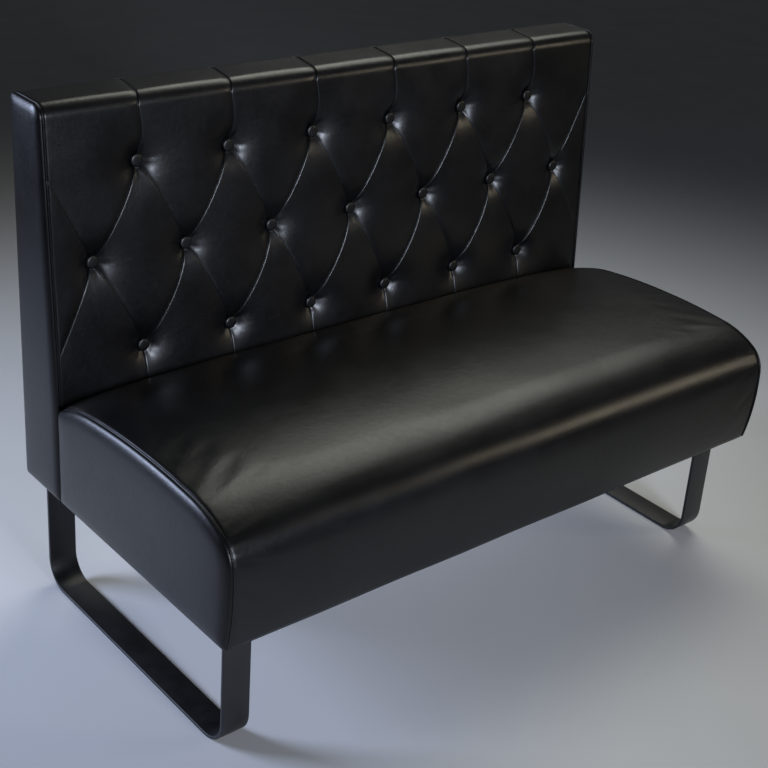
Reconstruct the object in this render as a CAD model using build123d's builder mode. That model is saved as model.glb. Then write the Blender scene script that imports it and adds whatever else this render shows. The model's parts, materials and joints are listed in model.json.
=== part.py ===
from build123d import *
import os
from math import cos, radians, sin, sqrt, tan

# Booth bench: a diamond-tufted back and a crowned box seat on two sled legs of bent flat bar.
# Millimetres. +Z is up, the sitter faces -Y, and X = 0 is the middle of the bench.
# The origin is on the floor, in the middle of the overall length and depth.

# Overall
bench_length = 1200
bench_depth = 620
bench_height = 900
underside_height = 232
seat_box_height = 214
back_thickness = 120
back_rake = 3.3

# Upholstery
side_cover_thickness = 8
side_cover_rounding = 5
seat_cover_thickness = 9
tufted_pad_thickness = 25
back_wrap_thickness = 9
rear_cover_thickness = 9
dust_cover_thickness = 1
soft_clearance = 0.3
seam_lip_thickness = 2.4
seam_lip_rise = 2.5
seam_lip_depth = 6

# Seat end profile, from the back forwards: how far each place lies below the peak, and how far
# forward of the back or behind the front it lies
seat_peak_reach = 250
seat_rear_drop = 44
rear_shoulder_drop = 11
rear_shoulder_reach = 100
front_shoulder_drop = 4
front_shoulder_reach = 105
brow_drop = 27
brow_reach = 30
nose_drop = 71
nose_reach = 1.9
front_lean = 13

# How far the middle of the seat stands above its ends
rear_crown = 21
top_crown = 12
shoulder_crown = 9
brow_crown = 5
crown_power = 4
crown_station_shares = (-1, -0.93, -0.8, -0.5, 0, 0.5, 0.8, 0.93, 1)

# Back outline and tufting
back_top_rounding = 22
rear_top_rounding = 8
back_side_rounding = 6
tuck_depth = 30
button_pitch = 172
button_end_margin = 75
button_row_shares = (0.782, 0.474, 0.148)
button_diameter = 23
button_rim = 2
button_dome = 4
pit_depth = 14
pit_bottom_diameter = 25
pit_bank_radius = 28
crease_standoff = 18
crease_bank_radius = 40
crease_end_depth = 6
crease_middle_depth = 4.5
crease_fade_depth = 2.5
crease_bow = 6
pleat_depth = 3.5
pleat_bank_radius = 22
bank_lift = 0.6
side_pleat_rise = 148
tie_diameter = 2
tie_hole_diameter = 3
foam_hole_diameter = 20
board_hole_diameter = 8
toggle_length = 24
toggle_diameter = 5

# Timber
end_panel_thickness = 15
seat_rail_thickness = 22
deck_thickness = 15
seat_padding_thickness = 101
front_foam_thickness = 29
rib_width = 45
back_board_thickness = 9
back_frame_depth = 27
stile_width = 45
back_rail_height = 45
back_bottom_rail_height = 70
joining_block_width = 70
joining_block_count = 4

# Legs
leg_bar_width = 50
leg_bar_thickness = 6
leg_bar_edge_rounding = 0.8
leg_bend_radius = 47
leg_inset = 35
leg_front_setback = 60
leg_rear_setback = 6

# Fasteners
screw_diameter = 8
screw_head_width = 13
screw_head_height = 5.3
screw_hole_diameter = 9
thread_clearance = 0.2
leg_screw_length = 25
leg_screw_margin = 50
leg_screw_count = 3
insert_diameter = 12
insert_length = 18
joining_bolt_length = 120
washer_diameter = 24
washer_thickness = 2
cut_overrun = 10

# Places worked out from the sizes
half_length = bench_length / 2
rear_y = bench_depth / 2
front_y = -bench_depth / 2
back_face_y = rear_y - back_thickness
side_plane = half_length - side_cover_thickness
cover_end = side_plane - seam_lip_thickness
pad_rear_y = back_face_y + tufted_pad_thickness
frame_rear_y = rear_y - rear_cover_thickness
board_rear_y = frame_rear_y - back_frame_depth
foam_rear_y = board_rear_y - back_board_thickness
frame_base_height = underside_height + dust_cover_thickness
frame_top_height = bench_height - back_wrap_thickness
seat_peak_height = underside_height + seat_box_height
seat_rear_height = seat_peak_height - seat_rear_drop
pad_low_height = seat_rear_height - tuck_depth
deck_top_height = seat_peak_height - seat_padding_thickness
deck_under_height = deck_top_height - deck_thickness
panel_inner_x = side_plane - end_panel_thickness
front_rail_y = front_y + front_foam_thickness + seat_cover_thickness
front_rail_rear_y = front_rail_y + seat_rail_thickness
rear_rail_y = back_face_y - seat_rail_thickness
stile_inner_x = side_plane - stile_width
leg_centre_x = half_length - leg_inset - leg_bar_width / 2
leg_front_y = front_y + leg_front_setback
leg_rear_y = rear_y - leg_rear_setback
plate_under_height = underside_height - leg_bar_thickness
bottom_rail_y = (board_rear_y + frame_rear_y) / 2
foam_inset = seat_cover_thickness + soft_clearance
rake = radians(back_rake)
rake_hinge = Axis((0, back_face_y, seat_rear_height), (1, 0, 0))


def evenly(count, pitch):
    """Places this far apart, either side of the middle of the bench."""
    return [(i - (count - 1) / 2) * pitch for i in range(count)]


# Screws along each rib, and a last one behind them in the rail of the back
first_screw_y = front_rail_rear_y + leg_screw_margin
leg_screw_pitch = (rear_rail_y - leg_screw_margin - first_screw_y) / (leg_screw_count - 1)
leg_screw_ys = [first_screw_y + i * leg_screw_pitch for i in range(leg_screw_count)]
leg_screw_ys.append(bottom_rail_y)
joining_xs = evenly(joining_block_count, 2 * leg_centre_x / joining_block_count)
joining_z = (frame_base_height + deck_under_height) / 2

# Button places on the face of the back, as x and the height that they would have if it were upright;
# the rows stand at shares of its height above the seat
middle_count = int((bench_length - 2 * button_end_margin) // button_pitch) + 1
shown_back_height = bench_height - seat_rear_height
row_heights = [seat_rear_height + share * shown_back_height for share in button_row_shares]
top_row = [(x, row_heights[0]) for x in evenly(middle_count - 1, button_pitch)]
middle_row = [(x, row_heights[1]) for x in evenly(middle_count, button_pitch)]
bottom_row = [(x, row_heights[2]) for x in evenly(middle_count - 1, button_pitch)]
all_buttons = top_row + middle_row + bottom_row


def cord_height(height):
    """Height of the cord behind a button, which starts at the floor of its pit."""
    return seat_rear_height + (height - seat_rear_height) * cos(rake) - pit_depth * sin(rake)


def cord_start(height):
    """How far back that cord starts, just clear of the leaning base of the button."""
    base = back_face_y + (height - seat_rear_height) * sin(rake) + pit_depth * cos(rake)
    return base + tie_diameter / 2 * tan(rake)


cord_places = [(x, cord_height(height)) for x, height in all_buttons]
middle_rail_height = (row_heights[1] + row_heights[2] - back_rail_height) / 2


def crown_at(x):
    """Share of the full crown at a place along the bench: one in the middle, none at the ends."""
    return sqrt(max(0, 1 - (abs(x) / cover_end) ** crown_power))


def draw_seat_profile(crown_share, inset=0, overrun=0):
    """Closed side profile of the seat, in (y, z), drawn as tangent arcs over a flat base."""
    rear = (back_face_y, seat_rear_height + crown_share * rear_crown)
    rear_shoulder_height = seat_peak_height - rear_shoulder_drop + crown_share * top_crown
    rear_shoulder = (back_face_y - rear_shoulder_reach, rear_shoulder_height)
    peak = (back_face_y - seat_peak_reach, seat_peak_height + crown_share * top_crown)
    front_shoulder_height = seat_peak_height - front_shoulder_drop + crown_share * shoulder_crown
    front_shoulder = (front_y + front_shoulder_reach, front_shoulder_height)
    brow = (front_y + brow_reach, seat_peak_height - brow_drop + crown_share * brow_crown)
    nose = (front_y + nose_reach, seat_peak_height - nose_drop)
    toe = (front_y + front_lean, underside_height)
    top_arc = ThreePointArc(rear_shoulder, peak, front_shoulder, mode=Mode.PRIVATE)
    rear_arc = TangentArc(rear_shoulder, rear, tangent=-(top_arc % 0), mode=Mode.PRIVATE)
    shoulder_arc = TangentArc(front_shoulder, brow, tangent=top_arc % 1, mode=Mode.PRIVATE)
    brow_arc = TangentArc(brow, nose, tangent=shoulder_arc % 1, mode=Mode.PRIVATE)
    front_arc = TangentArc(nose, toe, tangent=brow_arc % 1, mode=Mode.PRIVATE)
    for arc, side in ((rear_arc, -1), (top_arc, 1), (shoulder_arc, 1), (brow_arc, 1), (front_arc, 1)):
        inner_points = [arc @ t + (arc % t).rotate(Axis.Z, side * 90) * inset for t in (0, 0.5, 1)]
        inner_arc = ThreePointArc(*inner_points)
        if arc is rear_arc:
            start = inner_arc @ 1
    end = inner_arc @ 1
    back = back_face_y + overrun
    low = underside_height - overrun
    Polyline((back, start.Y), (back, low), (end.X, low))
    if inset:
        Line(start, (back, start.Y))
        Line((end.X, low), end)


def seat_form(end_x, inset=0, overrun=0):
    """The crowned seat between two ends, lofted through side profiles from end to end."""
    with BuildPart() as form:
        for share in crown_station_shares:
            with BuildSketch(Plane.YZ.offset(share * end_x)):
                with BuildLine():
                    draw_seat_profile(crown_at(share * end_x), inset, overrun)
                make_face()
        loft()
    return form.part


def raked_y(y, z):
    """How far back a raked layer lies at this height, if it lies at y where the seat meets the back."""
    return y + max(0, z - seat_rear_height) * tan(rake)


def raked(shape):
    """The shape as it lies on the raked face, if it was drawn on an upright one."""
    return shape.rotate(rake_hinge, -back_rake)


def draw_raked_profile(front, rear, low, top):
    """Side profile in (y, z) of a layer of the back: upright behind the seat and raked above it."""
    Polygon(
        (front, low),
        (front, seat_rear_height),
        (raked_y(front, top), top),
        (rear, top),
        (rear, low),
        align=None,
    )


def draw_back_outline():
    """Side outline of the whole back in (y, z), with its rounded top corners."""
    draw_raked_profile(back_face_y, rear_y, underside_height, bench_height)
    fillet(vertices().group_by(Axis.Y)[-1].sort_by(Axis.X)[0], radius=back_top_rounding)
    fillet(vertices().group_by(Axis.Y)[-1].sort_by(Axis.X)[-1], radius=rear_top_rounding)


def bank_width(depth, radius):
    """Width of a rounded bank that starts level with the face and falls this deep."""
    fall = depth + bank_lift
    return sqrt(2 * radius * fall - fall**2)


def draw_valley(depth, radius):
    """Closed cut section: two rounded banks that meet in a fold, open towards the sitter."""
    width = bank_width(depth, radius)
    TangentArc((-width, bank_lift), (0, -depth), tangent=(1, 0))
    TangentArc((width, bank_lift), (0, -depth), tangent=(-1, 0))
    Polyline((-width, bank_lift), (-width, cut_overrun), (width, cut_overrun), (width, bank_lift))


def crease(start, end, depths, bow=0):
    """Cutter for the crease between two places (x, z) of the face; depths are at start, middle and end."""
    origin = Vector(start[0], back_face_y, start[1])
    run = Vector(end[0], back_face_y, end[1]) - origin
    across = Vector(-run.Z, 0, run.X).normalized()
    with BuildPart() as cutter:
        for share, depth, side_step in zip((0, 0.5, 1), depths, (0, bow, 0)):
            place = origin + run * share + across * side_step
            with BuildSketch(Plane(origin=place, x_dir=across, z_dir=run)):
                with BuildLine():
                    draw_valley(depth, crease_bank_radius)
                make_face()
        loft()
    return raked(cutter.part)


def short_of(start, end, gap):
    """The place this far from the start, on the way to the end; a negative gap lies behind the start."""
    run = Vector(*end) - Vector(*start)
    place = Vector(*start) + run.normalized() * gap
    return (place.X, place.Y)


def pit(x, z):
    """Cutter for the funnel that a button is pulled into."""
    floor = pit_bottom_diameter / 2
    rim = floor + bank_width(pit_depth, pit_bank_radius)
    place = Vector(x, back_face_y, z)
    with BuildPart() as cutter:
        with BuildSketch(Plane(origin=place, x_dir=(1, 0, 0), z_dir=(0, 0, -1))):
            with BuildLine():
                Polyline((floor, -pit_depth), (0, -pit_depth), (0, cut_overrun), (rim, cut_overrun))
                Line((rim, cut_overrun), (rim, bank_lift))
                TangentArc((rim, bank_lift), (floor, -pit_depth), tangent=(-1, 0))
            make_face()
        revolve(axis=Axis(place, (0, -1, 0)))
    return raked(cutter.part)


def top_pleat(x, z):
    """Cutter for the pleat that runs from a button up the face, over the top edge and back."""
    with BuildPart() as cutter:
        start_height = z + crease_standoff
        with BuildLine(Plane.YZ.offset(x)) as pleat_path:
            FilletPolyline(
                (raked_y(back_face_y, start_height), start_height),
                (raked_y(back_face_y, bench_height), bench_height),
                (frame_rear_y + cut_overrun, bench_height),
                radius=back_top_rounding,
            )
        with BuildSketch(Plane(origin=pleat_path.line @ 0, x_dir=(-1, 0, 0), z_dir=pleat_path.line % 0)):
            with BuildLine():
                draw_valley(pleat_depth, pleat_bank_radius)
            make_face()
        sweep()
    return cutter.part


def fill(x_span, y_span, z_span, mode=Mode.ADD):
    """A straight block between two places along each axis."""
    spans = (x_span, y_span, z_span)
    with Locations(tuple((low + high) / 2 for low, high in spans)):
        Box(*[high - low for low, high in spans], mode=mode)


def bars_along_y(places, diameter, y_start, y_end, mode=Mode.ADD):
    """Round bars, or bores, along Y at places (x, z)."""
    with BuildPart(mode=Mode.PRIVATE) as bars:
        with BuildSketch(Plane.XZ.offset(-y_end)):
            with Locations(*places):
                Circle(diameter / 2)
        extrude(amount=y_end - y_start)
    add(bars.part, mode=mode)


def bars_along_z(places, diameter, z_start, z_end, mode=Mode.ADD):
    """Round bars, or bores, along Z at places (x, y)."""
    with BuildPart(mode=Mode.PRIVATE) as bars:
        with BuildSketch(Plane.XY.offset(z_start)):
            with Locations(*places):
                Circle(diameter / 2)
        extrude(amount=z_end - z_start)
    add(bars.part, mode=mode)


os.makedirs("parts", exist_ok=True)
sides = ((-1, "left"), (1, "right"))
leg_screw_places = [(side * leg_centre_x, y) for side, word in sides for y in leg_screw_ys]
joining_places = [(x, joining_z) for x in joining_xs]

# Sled legs: one flat bar each, bent round the two lower corners, with a plate welded across the top
for side, word in sides:
    with BuildPart() as leg_frame:
        with BuildLine(Plane.YZ.offset(side * leg_centre_x)) as bar_path:
            FilletPolyline(
                (leg_front_y + leg_bar_thickness / 2, plate_under_height),
                (leg_front_y + leg_bar_thickness / 2, leg_bar_thickness / 2),
                (leg_rear_y - leg_bar_thickness / 2, leg_bar_thickness / 2),
                (leg_rear_y - leg_bar_thickness / 2, plate_under_height),
                radius=leg_bend_radius,
            )
        with BuildSketch(Plane(origin=bar_path.line @ 0, x_dir=(1, 0, 0), z_dir=bar_path.line % 0)):
            RectangleRounded(leg_bar_width, leg_bar_thickness, leg_bar_edge_rounding)
        sweep()
    leg_frame.part.label = word + "_leg_frame"
    export_step(leg_frame.part, "parts/" + word + "_leg_frame.step")

    with BuildPart() as leg_plate:
        plate_low_x = side * leg_centre_x - leg_bar_width / 2
        fill(
            (plate_low_x, plate_low_x + leg_bar_width),
            (leg_front_y, leg_rear_y),
            (plate_under_height, underside_height),
        )
        plate_holes = [place for place in leg_screw_places if place[0] * side > 0]
        bars_along_z(plate_holes, screw_hole_diameter, plate_under_height, underside_height, Mode.SUBTRACT)
    leg_plate.part.label = word + "_leg_plate"
    export_step(leg_plate.part, "parts/" + word + "_leg_plate.step")

# Screws up through the leg plates, and the threaded inserts that hold them in the timber
with BuildPart() as leg_screws:
    screw_end = plate_under_height + leg_screw_length
    bars_along_z(leg_screw_places, screw_diameter, plate_under_height, screw_end)
    with BuildSketch(Plane.XY.offset(plate_under_height)):
        with Locations(*leg_screw_places):
            RegularPolygon(radius=screw_head_width / 2, side_count=6, major_radius=False)
    extrude(amount=-screw_head_height)
leg_screws.part.label = "leg_screws"
export_step(leg_screws.part, "parts/leg_screws.step")

insert_top = frame_base_height + insert_length
insert_bore = screw_diameter + thread_clearance
with BuildPart() as leg_inserts:
    bars_along_z(leg_screw_places, insert_diameter, frame_base_height, insert_top)
    bars_along_z(leg_screw_places, insert_bore, frame_base_height, insert_top, Mode.SUBTRACT)
leg_inserts.part.label = "leg_inserts"
export_step(leg_inserts.part, "parts/leg_inserts.step")

# Seat box
box_x_span = (-panel_inner_x, panel_inner_x)
box_z_span = (frame_base_height, deck_under_height)
with BuildPart() as seat_front_rail:
    fill(box_x_span, (front_rail_y, front_rail_rear_y), box_z_span)
seat_front_rail.part.label = "seat_front_rail"
export_step(seat_front_rail.part, "parts/seat_front_rail.step")

with BuildPart() as seat_rear_rail:
    fill(box_x_span, (rear_rail_y, back_face_y), box_z_span)
    bars_along_y(joining_places, screw_hole_diameter, rear_rail_y, back_face_y, Mode.SUBTRACT)
seat_rear_rail.part.label = "seat_rear_rail"
export_step(seat_rear_rail.part, "parts/seat_rear_rail.step")

for side, word in sides:
    with BuildPart() as end_panel:
        with BuildSketch(Plane.YZ.offset(side * panel_inner_x)):
            with BuildLine():
                draw_seat_profile(0, foam_inset)
            make_face()
        extrude(amount=side * end_panel_thickness)
        split(bisect_by=Plane.XY.offset(frame_base_height), keep=Keep.TOP)
    end_panel.part.label = "seat_" + word + "_end_panel"
    export_step(end_panel.part, "parts/seat_" + word + "_end_panel.step")

bore_top = screw_end + insert_diameter
for rib_x, word in ((-leg_centre_x, "left"), (0, "centre"), (leg_centre_x, "right")):
    with BuildPart() as rib:
        fill((rib_x - rib_width / 2, rib_x + rib_width / 2), (front_rail_rear_y, rear_rail_y), box_z_span)
        if rib_x:
            insert_places = [(rib_x, y) for y in leg_screw_ys[:-1]]
            bars_along_z(insert_places, insert_diameter, frame_base_height, insert_top, Mode.SUBTRACT)
            bars_along_z(insert_places, screw_hole_diameter, frame_base_height, bore_top, Mode.SUBTRACT)
    rib.part.label = "seat_" + word + "_rib"
    export_step(rib.part, "parts/seat_" + word + "_rib.step")

with BuildPart() as seat_deck:
    fill(box_x_span, (front_rail_y, back_face_y), (deck_under_height, deck_top_height))
seat_deck.part.label = "seat_deck"
export_step(seat_deck.part, "parts/seat_deck.step")

# Seat foam: a crowned block on the deck, and a sheet down the front rail
with BuildPart() as foam_shape:
    add(seat_form(cover_end, foam_inset))
    split(bisect_by=Plane.YZ.offset(panel_inner_x), keep=Keep.BOTTOM)
    split(bisect_by=Plane.YZ.offset(-panel_inner_x), keep=Keep.TOP)
foam_form = foam_shape.part

with BuildPart() as seat_foam:
    add(foam_form)
    split(bisect_by=Plane.XY.offset(deck_top_height), keep=Keep.TOP)
seat_foam.part.label = "seat_foam"
export_step(seat_foam.part, "parts/seat_foam.step")

with BuildPart() as seat_front_foam:
    add(foam_form)
    split(bisect_by=Plane.XY.offset(deck_top_height), keep=Keep.BOTTOM)
    split(bisect_by=Plane.XY.offset(frame_base_height), keep=Keep.TOP)
    split(bisect_by=Plane.XZ.offset(-front_rail_y), keep=Keep.TOP)
seat_front_foam.part.label = "seat_front_foam"
export_step(seat_front_foam.part, "parts/seat_front_foam.step")

# Seat cover: padded top and front in one, crowned towards the middle of the bench
with BuildPart() as seat_cover:
    add(seat_form(cover_end))
    add(seat_form(cover_end, seat_cover_thickness, cut_overrun), mode=Mode.SUBTRACT)
seat_cover.part.label = "seat_cover"
export_step(seat_cover.part, "parts/seat_cover.step")

for side, word in sides:
    # The upholstered end of the seat, rounded off towards its seam
    with BuildPart() as side_cover:
        with BuildSketch(Plane.YZ.offset(side * side_plane)):
            with BuildLine():
                draw_seat_profile(0)
            make_face()
        extrude(amount=side * side_cover_thickness)
        outer_face = side_cover.faces().sort_by(Axis((0, 0, 0), (side, 0, 0)))[-1]
        fillet(outer_face.edges(), radius=side_cover_rounding)
    side_cover.part.label = "seat_" + word + "_side_cover"
    export_step(side_cover.part, "parts/seat_" + word + "_side_cover.step")

    # The sewn edges of end and top, turned outwards as a thin raised lip
    with BuildPart() as seam_lip:
        with BuildSketch(Plane.YZ.offset(side * cover_end)):
            with BuildLine():
                draw_seat_profile(0, -seam_lip_rise, cut_overrun)
            make_face()
            with BuildLine():
                draw_seat_profile(0, seam_lip_depth, 2 * cut_overrun)
            make_face(mode=Mode.SUBTRACT)
        extrude(amount=side * seam_lip_thickness)
        split(bisect_by=Plane.XZ.offset(-back_face_y), keep=Keep.TOP)
        split(bisect_by=Plane.XY.offset(underside_height), keep=Keep.TOP)
    seam_lip.part.label = "seat_" + word + "_seam_lip"
    export_step(seam_lip.part, "parts/seat_" + word + "_seam_lip.step")

# Back frame
with BuildPart() as back_bottom_rail:
    rail_top = frame_base_height + back_bottom_rail_height
    fill((-side_plane, side_plane), (board_rear_y, frame_rear_y), (frame_base_height, rail_top))
    rear_screw_places = [(side * leg_centre_x, bottom_rail_y) for side, word in sides]
    bars_along_z(rear_screw_places, insert_diameter, frame_base_height, insert_top, Mode.SUBTRACT)
    bars_along_z(rear_screw_places, screw_hole_diameter, frame_base_height, bore_top, Mode.SUBTRACT)
    insert_end_y = board_rear_y + insert_length
    bars_along_y(joining_places, insert_diameter, board_rear_y, insert_end_y, Mode.SUBTRACT)
back_bottom_rail.part.label = "back_bottom_rail"
export_step(back_bottom_rail.part, "parts/back_bottom_rail.step")

for side, word in sides:
    with BuildPart() as stile:
        stile_span = sorted((side * stile_inner_x, side * side_plane))
        fill(stile_span, (board_rear_y, frame_rear_y), (rail_top, frame_top_height))
    stile.part.label = "back_" + word + "_stile"
    export_step(stile.part, "parts/back_" + word + "_stile.step")

for word, low in (("middle", middle_rail_height), ("top", frame_top_height - back_rail_height)):
    with BuildPart() as cross_rail:
        fill((-stile_inner_x, stile_inner_x), (board_rear_y, frame_rear_y), (low, low + back_rail_height))
    cross_rail.part.label = "back_" + word + "_rail"
    export_step(cross_rail.part, "parts/back_" + word + "_rail.step")

with BuildPart() as back_front_board:
    fill((-side_plane, side_plane), (foam_rear_y, board_rear_y), (frame_base_height, frame_top_height))
    bars_along_y(cord_places, board_hole_diameter, foam_rear_y, board_rear_y, Mode.SUBTRACT)
    bars_along_y(joining_places, screw_hole_diameter, foam_rear_y, board_rear_y, Mode.SUBTRACT)
back_front_board.part.label = "back_front_board"
export_step(back_front_board.part, "parts/back_front_board.step")

# Blocks that fill the depth of the foam where the seat box is bolted to the back
with BuildPart() as joining_blocks:
    for x in joining_xs:
        block_span = (x - joining_block_width / 2, x + joining_block_width / 2)
        fill(block_span, (back_face_y, foam_rear_y), box_z_span)
    bars_along_y(joining_places, screw_hole_diameter, back_face_y, foam_rear_y, Mode.SUBTRACT)
joining_blocks.part.label = "joining_blocks"
export_step(joining_blocks.part, "parts/joining_blocks.step")

head_face_y = rear_rail_y - washer_thickness
with BuildPart() as joining_bolts:
    bars_along_y(joining_places, screw_diameter, head_face_y, head_face_y + joining_bolt_length)
    with BuildSketch(Plane.XZ.offset(-head_face_y)):
        with Locations(*joining_places):
            RegularPolygon(radius=screw_head_width / 2, side_count=6, major_radius=False)
    extrude(amount=screw_head_height)
joining_bolts.part.label = "joining_bolts"
export_step(joining_bolts.part, "parts/joining_bolts.step")

with BuildPart() as joining_washers:
    bars_along_y(joining_places, washer_diameter, head_face_y, rear_rail_y)
    bars_along_y(joining_places, screw_hole_diameter, head_face_y, rear_rail_y, Mode.SUBTRACT)
joining_washers.part.label = "joining_washers"
export_step(joining_washers.part, "parts/joining_washers.step")

with BuildPart() as joining_inserts:
    bars_along_y(joining_places, insert_diameter, board_rear_y, insert_end_y)
    bars_along_y(joining_places, insert_bore, board_rear_y, insert_end_y, Mode.SUBTRACT)
joining_inserts.part.label = "joining_inserts"
export_step(joining_inserts.part, "parts/joining_inserts.step")

# Back foam, thinner towards the top and punched through at each button
with BuildPart() as back_foam:
    with BuildSketch(Plane.YZ.offset(-side_plane)):
        draw_raked_profile(pad_rear_y, foam_rear_y, pad_low_height, frame_top_height)
    extrude(amount=2 * side_plane)
    bars_along_y(cord_places, foam_hole_diameter, back_face_y, foam_rear_y, Mode.SUBTRACT)
back_foam.part.label = "back_foam"
export_step(back_foam.part, "parts/back_foam.step")

# Tufting: deep pits at the buttons, creases between them, pleats over the top edge and out to the ends
deep_to_deep = (crease_end_depth, crease_middle_depth, crease_end_depth)
deep_to_faint = (crease_end_depth, crease_middle_depth, crease_fade_depth)
cutters = [pit(x, z) for x, z in all_buttons]
for outer_row in (top_row, bottom_row):
    for x, z in outer_row:
        for middle_x, middle_z in middle_row:
            if abs(middle_x - x) < button_pitch:
                here = short_of((x, z), (middle_x, middle_z), crease_standoff)
                there = short_of((middle_x, middle_z), (x, z), crease_standoff)
                cutters.append(crease(here, there, deep_to_deep, crease_bow))
for x, z in top_row:
    cutters.append(top_pleat(x, z))
for x, z in bottom_row:
    cutters.append(crease((x, z - crease_standoff), (x, pad_low_height - cut_overrun), deep_to_faint))
for (x, z), side in ((middle_row[0], -1), (middle_row[-1], 1)):
    for rise in (side_pleat_rise, -side_pleat_rise):
        edge_place = (side * cover_end, z + rise)
        here = short_of((x, z), edge_place, crease_standoff)
        there = short_of(edge_place, (x, z), -pit_bottom_diameter)
        cutters.append(crease(here, there, deep_to_faint))

# Back cover: tufted front panel that wraps over the top edge, with its wadding
with BuildPart() as back_cover:
    with BuildSketch(Plane.YZ.offset(-cover_end)):
        draw_raked_profile(back_face_y, frame_rear_y, pad_low_height, bench_height)
        fillet(vertices().group_by(Axis.Y)[-1].sort_by(Axis.X)[0], radius=back_top_rounding)
    extrude(amount=2 * cover_end)
    end_faces = back_cover.faces().filter_by(Axis.X)
    end_edges = [edge for face in end_faces for edge in face.edges()]
    above_low = [edge for edge in end_edges if edge.center().Z > pad_low_height + back_side_rounding]
    shown_edges = [edge for edge in above_low if edge.center().Y < frame_rear_y - back_side_rounding]
    fillet(shown_edges, radius=back_side_rounding)
    with BuildSketch(Plane.YZ.offset(-side_plane)):
        inner_low = pad_low_height - cut_overrun
        draw_raked_profile(pad_rear_y, frame_rear_y + cut_overrun, inner_low, frame_top_height)
    extrude(amount=2 * side_plane, mode=Mode.SUBTRACT)
    for cutter in cutters:
        add(cutter, mode=Mode.SUBTRACT)
    bars_along_y(cord_places, tie_hole_diameter, back_face_y, foam_rear_y, Mode.SUBTRACT)
back_cover.part.label = "back_cover"
export_step(back_cover.part, "parts/back_cover.step")

# Covered buttons, one node for each row
for row_name, row in (("top", top_row), ("middle", middle_row), ("bottom", bottom_row)):
    with BuildPart() as upright_buttons:
        for x, height in row:
            place = Vector(x, back_face_y + pit_depth, height)
            crown = (0, button_rim + button_dome)
            edge = (button_diameter / 2, button_rim)
            with BuildSketch(Plane(origin=place, x_dir=(1, 0, 0), z_dir=(0, 0, -1))):
                with BuildLine():
                    Polyline(crown, (0, 0), (button_diameter / 2, 0), edge)
                    TangentArc(crown, edge, tangent=(1, 0))
                make_face()
            revolve(axis=Axis(place, (0, -1, 0)))
    with BuildPart() as row_buttons:
        add(raked(upright_buttons.part))
    row_buttons.part.label = row_name + "_row_buttons"
    export_step(row_buttons.part, "parts/" + row_name + "_row_buttons.step")

# Cords that pull the buttons in, and the cross bars that hold them behind the board
with BuildPart() as button_ties:
    for x, height in all_buttons:
        bars_along_y([(x, cord_height(height))], tie_diameter, cord_start(height), board_rear_y)
button_ties.part.label = "button_ties"
export_step(button_ties.part, "parts/button_ties.step")

with BuildPart() as tie_toggles:
    for x, z in cord_places:
        with BuildSketch(Plane.YZ.offset(x - toggle_length / 2)):
            with Locations((board_rear_y + toggle_diameter / 2, z)):
                Circle(toggle_diameter / 2)
        extrude(amount=toggle_length)
tie_toggles.part.label = "tie_toggles"
export_step(tie_toggles.part, "parts/tie_toggles.step")

for side, word in sides:
    # The upholstered end of the back, rounded off towards its seam
    with BuildPart() as side_cover:
        with BuildSketch(Plane.YZ.offset(side * side_plane)):
            draw_back_outline()
        extrude(amount=side * side_cover_thickness)
        outer_face = side_cover.faces().sort_by(Axis((0, 0, 0), (side, 0, 0)))[-1]
        fillet(outer_face.edges(), radius=side_cover_rounding)
    side_cover.part.label = "back_" + word + "_side_cover"
    export_step(side_cover.part, "parts/back_" + word + "_side_cover.step")

    # Raised lip up the front edge of the back and over its top
    with BuildPart() as seam_lip:
        with BuildSketch(Plane.YZ.offset(side * cover_end)):
            draw_back_outline()
            offset(amount=seam_lip_rise, kind=Kind.INTERSECTION)
            with BuildSketch(mode=Mode.SUBTRACT):
                draw_back_outline()
                offset(amount=-seam_lip_depth, kind=Kind.INTERSECTION)
        extrude(amount=side * seam_lip_thickness)
        split(bisect_by=Plane.XY.offset(seat_rear_height + seam_lip_depth), keep=Keep.TOP)
        split(bisect_by=Plane.XZ.offset(-frame_rear_y), keep=Keep.TOP)
    seam_lip.part.label = "back_" + word + "_seam_lip"
    export_step(seam_lip.part, "parts/back_" + word + "_seam_lip.step")

# Upholstered rear panel, with rounded edges
with BuildPart() as back_rear_cover:
    fill((-side_plane, side_plane), (frame_rear_y, rear_y), (underside_height, bench_height))
    fillet(back_rear_cover.faces().sort_by(Axis.Y)[-1].edges(), radius=rear_top_rounding)
back_rear_cover.part.label = "back_rear_cover"
export_step(back_rear_cover.part, "parts/back_rear_cover.step")

# Cloth that closes the underside of seat and back
seat_cloth_front_y = front_y + front_lean + seat_cover_thickness
for word, y_span in (("seat", (seat_cloth_front_y, back_face_y)), ("back", (back_face_y, frame_rear_y))):
    with BuildPart() as dust_cover:
        fill((-side_plane, side_plane), y_span, (underside_height, frame_base_height))
        screw_places = [place for place in leg_screw_places if y_span[0] < place[1] < y_span[1]]
        bars_along_z(screw_places, screw_hole_diameter, underside_height, frame_base_height, Mode.SUBTRACT)
    dust_cover.part.label = word + "_dust_cover"
    export_step(dust_cover.part, "parts/" + word + "_dust_cover.step")
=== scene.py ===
import json
import math

import bmesh
import bpy
import numpy as np
from mathutils import Matrix, Vector
from mathutils.geometry import delaunay_2d_cdt


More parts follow.
